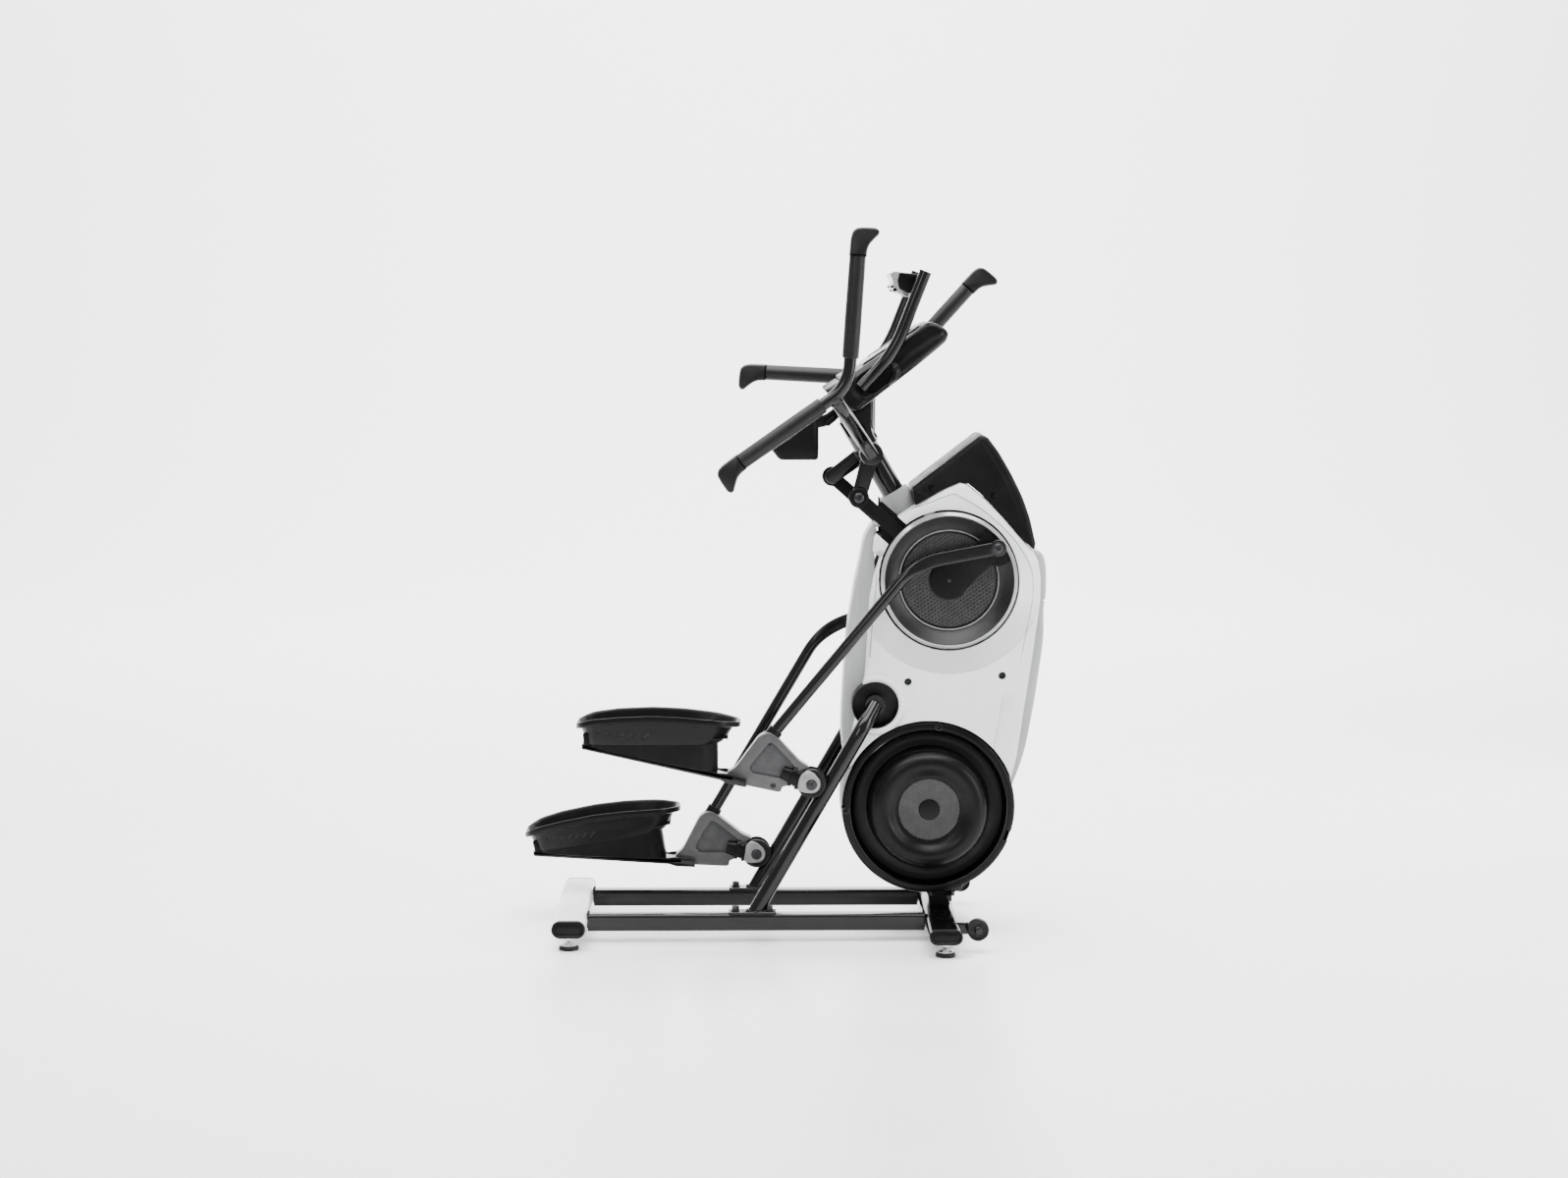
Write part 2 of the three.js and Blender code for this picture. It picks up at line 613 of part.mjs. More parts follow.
function buildLegs() {
  const places = { right: [rightRoller, 0], left: [leftRoller, -legTurn] };
  for (const [name, side] of SIDES) {
    const [[x, z], turn] = places[name];
    const group = new THREE.Group();
    group.position.set(x, 0, z);
    group.rotation.y = turn;
    machine.add(group);
    add(`leg_${name}`, legShape(side), blackSteel, group);
    add(`pedal_${name}`, pedalShape(side), blackPlastic, group);
    add(`roller_${name}`, turned(rollerProfile(), [0, 0], side, 20), blackPlastic, group);
    const axle = join(
      sideDrum([0, 0], rollerWheel.axle, side, 108, 180, 10),
      sideDrum([0, 0], 14, side, 178.5, 183, 10),
      sideDrum([0, 0], 14, side, 107, 111.5, 10));
    add(`roller_axle_${name}`, axle, bareSteel, group);
  }
}

// ---------------------------------------------------------------- handlebars and links

// Shapes are about the pivot, half way through the swing.
const gripBend = polar(grip.bendAngle, grip.bendRadius);
const jointAt = polar(handleArm.angle, handleArm.length);

function handlebarShape(side) {
  const lowAt = (reach) => polar(grip.lowAngle, reach, gripBend);
  const highAt = (reach) => polar(grip.highAngle, reach, gripBend);
  const lowTip = polar(grip.lowAngle + 5.5, 352, gripBend);
  const highTip = polar(grip.highAngle - 5.5, 352, gripBend);
  const at = ([x, z], y = grip.y) => [x, side * y, z];
  const gripTube = tube([at(lowAt(304)), at(gripBend), at(highAt(304))], 14.5, 46, 12, 4);
  const lowCap = tube([at(lowAt(300)), at(lowAt(326)), at(lowTip)], 20, 10, 10, 2);
  const highCap = tube([at(highAt(300)), at(highAt(326)), at(highTip)], 20, 10, 10, 2);
  const attach = lowAt(40);
  const partWay = (share, y) => at([attach[0] * share, attach[1] * share], y);
  const lower = tube([partWay(0, 106), partWay(0.22, 128), partWay(0.8, 258), at(attach)],
    16, 20, 10, 2);
  const hub = sideDrum([0, 0], 27, side, 60, 114, 20);
  const arm = sideSlab(barOutline([0, 0], jointAt, 20, 17, 10), side, 74, 86);
  const jointPin = sideDrum(jointAt, 8, side, 80, 99, 14);
  const jointHead = sideDrum(jointAt, 13, side, 97.5, 102, 14);
  const bore = sideDrum([0, 0], 10.5, side, 50, 104, 14);
  return cut(join(gripTube, lowCap, highCap, hub, lower, arm, jointPin, jointHead), bore);
}

function buildHandlebars() {
  for (const [name, side] of SIDES) {
    const group = new THREE.Group();
    group.position.set(handlePivot.x, 0, handlePivot.z);
    group.rotation.y = (side * radians(handleSwing)) / 2;
    machine.add(group);
    add(`handlebar_${name}`, handlebarShape(side), blackSteel, group);

    const jointPoint = polar(
      handleArm.angle - (side * handleSwing) / 2, handleArm.length, [handlePivot.x, handlePivot.z]);
    const lobe = eccentricCentre(side);
    const { inner, outer } = linkY;
    const eye = sideDrum(jointPoint, 23, side, inner, outer, 20);
    const strap = sideDrum(lobe, eccentric.radius + 10, side, inner, outer, 28);
    const bar = sideSlab(barOutline(jointPoint, lobe, 15.5, 15.5, 6), side, inner, outer);
    const link = cut(join(eye, strap, bar),
      sideDrum(lobe, eccentric.radius + 2, side, inner - 5, outer + 5, 28),
      sideDrum(jointPoint, 8.5, side, inner - 5, outer + 5, 14));
    add(`handle_link_${name}`, link, blackSteel);
  }
}

// ---------------------------------------------------------------- console and fixed handlebar

// Two flat stretches of the console's face, each from a corner of the housing's outline:
// the key panel nearest the user, and the display behind it.
const faceCorner = { keys: [92, 1277], display: [165, 1320] };
const faceTilt = { keys: 30.5, display: 34.15 };

function onFace(stretch, along, out) {
  const foot = polar(faceTilt[stretch], along, faceCorner[stretch]);
  return polar(faceTilt[stretch] + 90, out, foot);
}

function buildConsole() {
  const outline = [
    faceCorner.keys, faceCorner.display, [336, 1436], [369, 1418], [378, 1407], [372, 1388],
    [299, 1327], [206, 1256], [168, 1228], [140, 1236]];
  const half = 143;
  add('console_housing', slab(outline, -half, half), charcoalPlastic);

  const keys = [
    ['start_button', -70], ['stop_button', 70], ['level_up_button', -24], ['level_down_button', 24]];
  for (const [name, y] of keys) {
    const [x0, z0] = onFace('keys', 52, 2.6);
    const [x1, z1] = onFace('keys', 52, 7.5);
    add(name, rod([x0, y, z0], [x1, y, z1], 9, 14), castGrey);
  }
  const lens = [
    onFace('display', 28, 0.5), onFace('display', 34, 7), onFace('display', 172, 7),
    onFace('display', 178, 0.5)];
  add('display_lens', slab(lens, -92, 92), blackPlastic);

  const holder = [[-30, 1140], [-10, 1112], [78, 1112], [83, 1118], [83, 1198]];
  const opened = [...inset(holder, wall), [80, 1210], [-26, 1210]];
  const cup = cut(slab(holder, -42, 42), slab(opened, wall - 42, 42 - wall));
  const bracket = slab([[80, 1180], [84, 1168], [128, 1186], [118, 1204]], -20, 20);
  add('bottle_holder', join(cup, bracket), charcoalPlastic);
}

function buildFixedHandlebar() {
  const y = 159;
  const radius = 14;
  const points = [
    [120, -y, 1247], [178, -y, 1286], [250, -y, 1361], [318, -y, 1540],
    [318, y, 1540], [250, y, 1361], [178, y, 1286], [120, y, 1247]];
  const pulseGrip = [[262, 1526], [272, 1547], [303, 1545], [300, 1504], [283, 1505]];
  add('pulse_grip', slab(pulseGrip, -96, 96), blackPlastic);
  add('fixed_handlebar', tube(points, radius, 14, 10, 2), blackSteel);
}

buildBase();
buildFeet();
buildMainFrame();
buildMast();
buildInclinedRails();
buildSideShells();
buildCentreCovers();
buildTopCover();
buildCrankBowls();
buildFanCovers();
buildDrive();
buildCranks();
buildLegs();
buildHandlebars();
buildConsole();
buildFixedHandlebar();

export default machine;
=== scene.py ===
"""Upright elliptical trainer: its looks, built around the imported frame.

Lengths are millimetres in the design's own layout until piece() places them in metres.
+X is the machine's front, -Y the user's right, +Z up.
"""
import json
import math
import bmesh
import bpy
import numpy as np
from mathutils import Matrix, Vector
from mathutils.geometry import delaunay_2d_cdt


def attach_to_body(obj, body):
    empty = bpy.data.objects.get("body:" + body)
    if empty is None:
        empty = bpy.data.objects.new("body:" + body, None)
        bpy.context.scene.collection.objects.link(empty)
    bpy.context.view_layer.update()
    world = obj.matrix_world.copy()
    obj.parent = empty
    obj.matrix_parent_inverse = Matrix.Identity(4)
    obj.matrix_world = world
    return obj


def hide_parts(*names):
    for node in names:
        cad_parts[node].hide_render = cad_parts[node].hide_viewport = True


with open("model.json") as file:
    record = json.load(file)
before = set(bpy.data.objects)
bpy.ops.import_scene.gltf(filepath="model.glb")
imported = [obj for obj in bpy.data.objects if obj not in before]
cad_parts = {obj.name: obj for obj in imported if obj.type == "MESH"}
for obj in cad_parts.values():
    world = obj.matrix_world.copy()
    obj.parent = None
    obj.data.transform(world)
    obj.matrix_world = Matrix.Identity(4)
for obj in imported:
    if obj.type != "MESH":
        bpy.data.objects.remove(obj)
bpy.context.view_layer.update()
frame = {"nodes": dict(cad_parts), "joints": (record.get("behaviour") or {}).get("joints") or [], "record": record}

MM = 0.001
SIDES = {"right": -1, "left": 1}


# ------------------------------------------------------------------ places from the frame

def joint_at(name):
    """A joint's point in the row frame, in millimetres."""
    joint = next(j for j in frame["joints"] if j["name"] == name)
    return Vector(joint["pos_m"]) / MM


def ratio_of(name):
    couplings = frame["record"]["behaviour"]["couplings"]
    return next(c["ratio"] for c in couplings if c["joint"] == name)


CRANK = (383.0, 837.5)
SHIFT = joint_at("crank_turn").x - CRANK[0]     # the layout's origin in the row frame


def layout(name):
    """A joint's (x, z) in the layout."""
    at = joint_at(name)
    return (at.x - SHIFT, at.z)


FAN = layout("fan_spin")
PIVOT = layout("handlebar_right_swing")
HUB = (213.0, 546.0)
TRACK = 144.0
THROW = 134.0
PHASE = 35.4
HANDLE_SWING = 38.0
WHEEL = layout("transport_wheel_right_spin")
ROLLER = {side: layout(f"leg_{side}_swing") for side in SIDES}
LEG_TURN = abs(ratio_of("leg_right_swing")) * math.pi


# ------------------------------------------------------------------ materials

def shader(name, color, roughness, metallic=0.0, coat=0.0, specular=0.5):
    material = bpy.data.materials.new(name)
    material.use_nodes = True
    bsdf = material.node_tree.nodes["Principled BSDF"]
    bsdf.inputs["Base Color"].default_value = (*color, 1)
    bsdf.inputs["Roughness"].default_value = roughness
    bsdf.inputs["Metallic"].default_value = metallic
    bsdf.inputs["Coat Weight"].default_value = coat
    bsdf.inputs["Coat Roughness"].default_value = 0.12
    bsdf.inputs["Specular IOR Level"].default_value = specular
    return material


def node(material, kind, **values):
    made = material.node_tree.nodes.new(kind)
    for key, value in values.items():
        if hasattr(made, key):
            setattr(made, key, value)
        else:
            made.inputs[key.replace("_", " ")].default_value = value
    return made


def link(material, source, target):
    material.node_tree.links.new(source, target)


def positions(material, stretch=(1, 1, 1)):
    """Object coordinates, which are metres in the row frame."""
    coords = node(material, "ShaderNodeTexCoord")
    mapping = node(material, "ShaderNodeMapping")
    mapping.inputs["Scale"].default_value = stretch
    link(material, coords.outputs["Object"], mapping.inputs["Vector"])
    return mapping.outputs["Vector"]


def noise(material, scale, detail=3.0, stretch=(1, 1, 1)):
    made = node(material, "ShaderNodeTexNoise", Scale=scale, Detail=detail)
    link(material, positions(material, stretch), made.inputs["Vector"])
    return made.outputs["Fac"]


def surface_input(material, name):
    return material.node_tree.nodes["Principled BSDF"].inputs[name]


def rescaled(material, source, from_span, to_span):
    """The source with one span of values mapped to another."""
    ramp = node(material, "ShaderNodeMapRange")
    for key, value in zip(("From Min", "From Max", "To Min", "To Max"), (*from_span, *to_span)):
        ramp.inputs[key].default_value = value
    link(material, source, ramp.inputs["Value"])
    return ramp.outputs["Result"]


NOISE_SPAN = (0.35, 0.65)     # the middle of a noise texture's values, stretched to the full change


def vary(material, socket, source, low, high):
    """The socket follows the source across the noise span, from low to high."""
    link(material, rescaled(material, source, NOISE_SPAN, (low, high)), surface_input(material, socket))


def tint(material, source, dark, light):
    """The base colour runs from dark to light with the source."""
    ramp = node(material, "ShaderNodeValToRGB")
    for element, position, color in zip(ramp.color_ramp.elements, NOISE_SPAN, (dark, light)):
        element.position = position
        element.color = (*color, 1)
    link(material, source, ramp.inputs["Fac"])
    link(material, ramp.outputs["Color"], surface_input(material, "Base Color"))


def emboss(material, source, strength, distance):
    bump = node(material, "ShaderNodeBump", Strength=strength, Distance=distance)
    link(material, source, bump.inputs["Height"])
    link(material, bump.outputs["Normal"], surface_input(material, "Normal"))


def moulded(name, dark, light, roughness, grain=2600, depth=0.00006, coat=0.0, specular=0.5):
    """Moulded plastic or paint: a fine grain and a slow change of tone and gloss."""
    material = shader(name, light, roughness, coat=coat, specular=specular)
    tint(material, noise(material, 9), dark, light)
    vary(material, "Roughness", noise(material, 28, 5), roughness * 0.85, roughness * 1.15)
    emboss(material, noise(material, grain, 2), 0.35, depth)
    return material


UNDERSIDE = {"lean": (-0.36, -0.03), "share": (0.62, 1.0)}     # the normal's Z, the colour kept


def shade_undersides(material):
    """A painted shade: faces that lean towards the floor get a darker base colour.

    In a trial without it, under other lamps, the flare round the crank bowl was almost unseen.
    """
    base = surface_input(material, "Base Color")
    unshaded = base.links[0].from_socket
    facing = node(material, "ShaderNodeNewGeometry")
    parts = node(material, "ShaderNodeSeparateXYZ")
    link(material, facing.outputs["Normal"], parts.inputs["Vector"])
    share = rescaled(material, parts.outputs["Z"], UNDERSIDE["lean"], UNDERSIDE["share"])
    # Painted shade: the base colour is scaled down on faces that lean towards the floor.
    shaded = node(material, "ShaderNodeVectorMath", operation="SCALE")
    link(material, unshaded, shaded.inputs[0])
    link(material, share, shaded.inputs["Scale"])
    link(material, shaded.outputs["Vector"], base)


def cells(material, scale):
    made = node(material, "ShaderNodeTexVoronoi", Scale=scale)
    link(material, positions(material), made.inputs["Vector"])
    return made.outputs["Distance"]


def make_looks():
    looks = {
        "silver_plastic": moulded("silver_plastic", (0.70, 0.71, 0.72), (0.75, 0.76, 0.77), 0.34),
        # A darker copy of the silver plastic: on the centre covers it is painted shade, for their side faces that
        # turn away from the lamps.
        "darker_silver_plastic": moulded("darker_silver_plastic", (0.29, 0.295, 0.30), (0.33, 0.335, 0.34), 0.36),
        "silver_paint": moulded("silver_paint", (0.78, 0.79, 0.80), (0.82, 0.83, 0.84), 0.26, 900,
                                0.00002),
        "black_paint": moulded("black_paint", (0.001, 0.001, 0.001), (0.002, 0.002, 0.002), 0.14, 420,
                               0.000015, specular=0.32),
        "black_plastic": moulded("black_plastic", (0.0012, 0.0012, 0.0013), (0.0025, 0.0025, 0.0027),
                                 0.34, specular=0.14),
        "charcoal_plastic": moulded("charcoal_plastic", (0.002, 0.002, 0.0022),
                                    (0.004, 0.004, 0.0043), 0.42, specular=0.1),
        "rubber": moulded("rubber", (0.0015, 0.0015, 0.0015), (0.003, 0.003, 0.003), 0.38, 1500,
                          specular=0.25),
        "grey_keys": moulded("grey_keys", (0.26, 0.26, 0.27), (0.32, 0.32, 0.33), 0.5),
    }
    # Painted shade on both light plastics, where their faces lean towards the floor.
    for name in ("silver_plastic", "darker_silver_plastic"):
        shade_undersides(looks[name])
    speckle = shader("speckled_plastic", (0.004, 0.004, 0.0042), 0.32, specular=0.4)
    tint(speckle, noise(speckle, 700), (0.002, 0.002, 0.0022), (0.007, 0.007, 0.0073))
    emboss(speckle, cells(speckle, 620), 0.8, 0.0004)
    looks["speckled_plastic"] = speckle

    web = shader("bright_web", (0.02, 0.02, 0.021), 0.3, specular=0.6)
    tint(web, noise(web, 40), (0.014, 0.014, 0.015), (0.028, 0.028, 0.029))
    looks["bright_web"] = web

    foam = shader("foam", (0.003, 0.003, 0.0032), 0.42, specular=0.25)
    tint(foam, noise(foam, 60), (0.002, 0.002, 0.0022), (0.004, 0.004, 0.0043))
    emboss(foam, cells(foam, 1500), 0.35, 0.0001)
    looks["foam"] = foam

    cast = shader("cast_grey", (0.06, 0.06, 0.062), 0.38, metallic=0.4)
    tint(cast, noise(cast, 30, 4), (0.055, 0.055, 0.057), (0.068, 0.068, 0.07))
    emboss(cast, noise(cast, 1500, 3), 0.4, 0.0001)
    # A darker copy of the cast grey for the bracket's recess floors: painted shade in the recesses, with its own
    # fine grain.
    recess_shade_cast = shader("cast_grey_recess_shade", (0.04, 0.04, 0.042), 0.45, metallic=0.3)
    tint(recess_shade_cast, noise(recess_shade_cast, 40, 4), (0.034, 0.034, 0.036), (0.046, 0.046, 0.048))
    emboss(recess_shade_cast, noise(recess_shade_cast, 1400, 2), 0.5, 0.0001)
    looks["cast_grey_recess_shade"] = recess_shade_cast
    looks["cast_grey"] = cast

    # Pale cast metal for the fork caps; on the crank bowls' bead the pale colour is a painted highlight, a thin
    # bright line.
    pale_cast_and_painted_highlight = shader("pale_cast_and_painted_highlight", (0.2, 0.2, 0.205), 0.42, metallic=0.2)
    tint(pale_cast_and_painted_highlight, noise(pale_cast_and_painted_highlight, 60, 4), (0.17, 0.17, 0.175), (0.23, 0.23, 0.235))
    emboss(pale_cast_and_painted_highlight, noise(pale_cast_and_painted_highlight, 1500, 3), 0.4, 0.0001)
    looks["pale_cast_and_painted_highlight"] = pale_cast_and_painted_highlight

    ring = shader("satin_ring", (0.42, 0.42, 0.43), 0.24, metallic=0.6)
    tint(ring, noise(ring, 30), (0.38, 0.38, 0.39), (0.45, 0.45, 0.46))
    looks["satin_ring"] = ring

    steel = shader("bright_steel", (0.62, 0.62, 0.63), 0.24, metallic=1.0)
    vary(steel, "Roughness", noise(steel, 260, 4, (1, 12, 1)), 0.16, 0.34)
    emboss(steel, noise(steel, 900, 2, (1, 14, 1)), 0.15, 0.00005)
    looks["bright_steel"] = steel

    zinc = shader("black_zinc", (0.03, 0.03, 0.032), 0.3, metallic=0.8)
    vary(zinc, "Roughness", noise(zinc, 500, 4), 0.22, 0.42)
    looks["black_zinc"] = zinc

    lens = shader("dark_lens", (0.012, 0.014, 0.018), 0.2, specular=0.25)
    tint(lens, noise(lens, 18), (0.008, 0.010, 0.013), (0.014, 0.017, 0.021))
    looks["dark_lens"] = lens

    lcd = shader("lcd_glass", (0.075, 0.095, 0.085), 0.2, coat=0.3)
    tint(lcd, noise(lcd, 40), (0.065, 0.083, 0.074), (0.085, 0.107, 0.096))
    looks["lcd_glass"] = lcd

    aluminium = shader("cast_aluminium", (0.45, 0.45, 0.46), 0.4, metallic=1.0)
    emboss(aluminium, noise(aluminium, 500, 4), 0.3, 0.0001)
    looks["cast_aluminium"] = aluminium
    return looks


LOOKS = make_looks()


# ------------------------------------------------------------------ shapes

def polar(angle, radius, centre=(0, 0)):
    a = math.radians(angle)
    return (centre[0] + radius * math.cos(a), centre[1] + radius * math.sin(a))


def arc(centre, radius, start, end, steps):
    return [polar(start + (end - start) * i / steps, radius, centre) for i in range(steps + 1)]


def circle(centre, radius, count=48):
    return arc(centre, radius, 0, 360 - 360 / count, count - 1)


def bar_outline(a, b, ra, rb, steps=16):
    along = math.degrees(math.atan2(b[1] - a[1], b[0] - a[0]))
    opening = math.degrees(math.acos((ra - rb) / math.dist(a, b)))
    return (arc(a, ra, along + opening, along + 360 - opening, steps)
            + arc(b, rb, along - opening, along + opening, steps))


def rounded(points, radius, steps=6):
    """A closed outline with its corners rounded; the radius is one or one for each corner."""
    count = len(points)
    radii = radius if isinstance(radius, (list, tuple)) else [radius] * count
    result = []
    for i, corner in enumerate(points):
        here = Vector(corner)
        back = Vector(points[i - 1]) - here
        ahead = Vector(points[(i + 1) % count]) - here
        reach = min(radii[i], 0.45 * back.length, 0.45 * ahead.length)
        start = here + back.normalized() * reach
        end = here + ahead.normalized() * reach
        for k in range(steps + 1):
            t = k / steps
            result.append(tuple(start * (1 - t) ** 2 + here * 2 * t * (1 - t) + end * t ** 2))
    return result


def area_of(outline):
    return sum(a[0] * b[1] - b[0] * a[1] for a, b in zip(outline, outline[1:] + outline[:1])) / 2


def inset(outline, distance):
    """The outline moved inwards."""
    turn = math.copysign(1, area_of(outline))
    count = len(outline)
    moved = []
    for i, point in enumerate(outline):
        a = (Vector(point) - Vector(outline[i - 1])).normalized()
        b = (Vector(outline[(i + 1) % count]) - Vector(point)).normalized()
        normal = Vector((-a.y - b.y, a.x + b.x)) * turn
        if normal.length < 1e-6:
            normal = Vector((-a.y, a.x)) * turn
        normal.normalize()
        reach = distance / max(0.4, normal.dot(Vector((-a.y, a.x)) * turn))
        moved.append(tuple(Vector(point) + normal * reach))
    return moved


def dense(loop, step, closed=True):
    """The same line with a point at least every step."""
    result = []
    ends = loop[1:] + loop[:1] if closed else loop[1:]
    for a, b in zip(loop, ends):
        pieces = max(1, math.ceil(math.dist(a, b) / step))
        result += [tuple(Vector(a).lerp(Vector(b), k / pieces)) for k in range(pieces)]
    return result if closed else result + [tuple(loop[-1])]


def loft(rings, caps=(True, True)):
    """Rings of equal length joined in order into a skin."""
    form = bmesh.new()
    made = [[form.verts.new(p) for p in ring] for ring in rings]
    count = len(rings[0])
    for lower, upper in zip(made, made[1:]):
        for i in range(count):
            k = (i + 1) % count
            form.faces.new((lower[i], lower[k], upper[k], upper[i]))
    if caps[0]:
        form.faces.new(made[0][::-1])
    if caps[1]:
        form.faces.new(made[-1])
    bmesh.ops.recalc_face_normals(form, faces=form.faces)
    return form


def prism(plan, *levels):
    """A plan outline, (x, y), standing through levels of z."""
    return loft([[(x, y, z) for x, y in plan] for z in levels])


def plate(outline, side, inner, outer, edge=1.5, steps=3):
    """An outline in XZ, thick along Y, with its rims rounded."""
    stops = []
    for i in range(steps + 1):
        a = math.radians(90 * i / steps)
        stops.append((edge * (1 - math.sin(a)), inner + edge * (1 - math.cos(a))))
    stops += [(gap, inner + outer - y) for gap, y in reversed(stops)]
    rings = []
    for gap, y in stops:
        line = inset(outline, gap) if gap > 1e-6 else outline
        rings.append([(x, side * y, z) for x, z in line])
    return loft(rings)


def turned(profile, centre, side, segments=64):
    """A profile of (radius, y) turned about an axis along Y through centre."""
    form = bmesh.new()
    rings = []
    for radius, y in profile:
        if radius < 1e-6:
            rings.append([form.verts.new((centre[0], side * y, centre[1]))])
            continue
        rings.append([
            form.verts.new((centre[0] + radius * math.cos(2 * math.pi * i / segments), side * y,
                            centre[1] + radius * math.sin(2 * math.pi * i / segments)))
            for i in range(segments)])
    if len(rings[0]) > 1:
        rings.append(rings[0])
    for a, b in zip(rings, rings[1:]):
        for i in range(segments):
            k = (i + 1) % segments
            corners = [a[i % len(a)], a[k % len(a)], b[k % len(b)], b[i % len(b)]]
            unique = list(dict.fromkeys(corners))
            if len(unique) > 2:
                form.faces.new(unique)
    bmesh.ops.recalc_face_normals(form, faces=form.faces)
    return form


def disc(centre, radius, side, inner, outer, edge=1.2, segments=48):
    """A round solid with rounded rims."""
    quarter = [math.radians(a) for a in (0, 30, 60, 90)]
    profile = [(0, inner)]
    profile += [(radius - edge + edge * math.sin(a), inner + edge * (1 - math.cos(a))) for a in quarter]
    profile += [(r, inner + outer - y) for r, y in reversed(profile[1:])]
    return turned(profile + [(0, outer)], centre, side, segments)


def route_of(points, bend, steps):
    """Stations along straight runs with rounded corners."""
    at = [Vector(p) for p in points]
    stations = [at[0]]
    for i in range(1, len(at) - 1):
        before = at[i] + (at[i - 1] - at[i]).normalized() * bend
        after = at[i] + (at[i + 1] - at[i]).normalized() * bend
        for k in range(steps + 1):
            t = k / steps
            stations.append(before * (1 - t) ** 2 + at[i] * 2 * t * (1 - t) + after * t ** 2)
    return stations + [at[-1]]


def sweep(stations, sizes, sides=28, power=2.0, dome=0.0):
    """A round or flattened bar along stations; sizes are (half height, half width along Y)."""
    count = len(stations)
    tangents = [(stations[min(i + 1, count - 1)] - stations[max(i - 1, 0)]).normalized()
                for i in range(count)]
    across = Vector((1, 0, 0)) if abs(tangents[0].y) > 0.9 else Vector((0, 1, 0))
    rings = []
    for i, (at, tangent) in enumerate(zip(stations, tangents)):
        across = (across - tangent * across.dot(tangent)).normalized()
        up = across.cross(tangent)
        tall, wide = sizes[i] if isinstance(sizes, list) else (sizes, sizes)
        bulge = power[i] if isinstance(power, list) else power
        ring = []
        for k in range(sides):
            a = 2 * math.pi * k / sides
            c, s = math.cos(a), math.sin(a)
            u = math.copysign(abs(c) ** (2 / bulge), c)
            v = math.copysign(abs(s) ** (2 / bulge), s)
            ring.append(at + up * (tall * u) + across * (wide * v))
        rings.append(ring)
    if dome:
        for end, inward in ((0, 1), (-1, -1)):
            base, centre = rings[end], stations[end]
            push = tangents[end] * -inward
            extra = [[centre + (p - centre) * math.cos(a) + push * (dome * math.sin(a)) for p in base]
                     for a in (math.radians(30), math.radians(60), math.radians(82))]
            rings = extra[::-1] + rings if end == 0 else rings + extra
    return loft(rings)


def pipe(points, radius, bend=20, steps=10, sides=28, dome=0.0):
    return sweep(route_of(points, bend, steps), radius, sides, dome=dome)


def rod(a, b, radius, sides=28, dome=1.0):
    return sweep([Vector(a), Vector(b)], radius, sides, dome=dome)


def merge(*forms):
    """Several closed forms in one mesh."""
    whole = forms[0]
    for form in forms[1:]:
        mesh = bpy.data.meshes.new("part")
        form.to_mesh(mesh)
        whole.from_mesh(mesh)
        bpy.data.meshes.remove(mesh)
        form.free()
    return whole


def carve(form, *tools, operation="DIFFERENCE"):
    """The form with the tools cut away, by exact booleans."""
    objects = []
    for shape in (form, *tools):
        bmesh.ops.recalc_face_normals(shape, faces=shape.faces)
        mesh = bpy.data.meshes.new("part")
        shape.to_mesh(mesh)
        shape.free()
        objects.append(bpy.data.objects.new("part", mesh))
        bpy.context.scene.collection.objects.link(objects[-1])
    for tool in objects[1:]:
        cut = objects[0].modifiers.new("cut", "BOOLEAN")
        cut.object = tool
        cut.operation = operation
        cut.solver = "EXACT"
    bpy.context.view_layer.update()
    result = bmesh.new()
    result.from_mesh(objects[0].evaluated_get(bpy.context.evaluated_depsgraph_get()).to_mesh())
    for used in objects:
        mesh = used.data
        bpy.data.objects.remove(used)
        bpy.data.meshes.remove(mesh)
    bmesh.ops.remove_doubles(result, verts=result.verts, dist=0.01)
    return result


def thicken(form, thickness):
    """An open skin made into a closed shell, grown inwards."""
    mesh = bpy.data.meshes.new("part")
    form.to_mesh(mesh)
    form.free()
    skin = bpy.data.objects.new("part", mesh)
    bpy.context.scene.collection.objects.link(skin)
    grow = skin.modifiers.new("grow", "SOLIDIFY")
    grow.thickness = thickness
    grow.offset = -1
    bpy.context.view_layer.update()
    result = bmesh.new()
    result.from_mesh(skin.evaluated_get(bpy.context.evaluated_depsgraph_get()).to_mesh())
    bpy.data.objects.remove(skin)
    bpy.data.meshes.remove(mesh)
    return result


def inside(polygon, points):
    x, z = points[:, 0], points[:, 1]
    result = np.zeros(len(points), bool)
    for (x0, z0), (x1, z1) in zip(polygon, polygon[1:] + polygon[:1]):
        if z0 == z1:
            continue
        crosses = (z0 > z) != (z1 > z)
        result ^= crosses & (x < x0 + (z - z0) * (x1 - x0) / (z1 - z0))
    return result


def distance_to(path, points, closed=True):
    best = np.full(len(points), np.inf)
    ends = path[1:] + path[:1] if closed else path[1:]
    for a, b in zip(np.array(path[:len(ends)], float), np.array(ends, float)):
        run = b - a
        t = np.clip(((points - a) @ run) / max(run @ run, 1e-9), 0, 1)
        best = np.minimum(best, np.linalg.norm(points - a - t[:, None] * run, axis=1))
    return best


def smooth_step(values, low, high):
    t = np.clip((values - low) / (high - low), 0, 1)
    return t * t * (3 - 2 * t)


def edge_drop(depth, radius):
    """How far a rounded edge has fallen at a depth inside the outline."""
    near = np.clip(radius - depth, 0, radius)
    return radius - np.sqrt(np.maximum(radius ** 2 - near ** 2, 0))


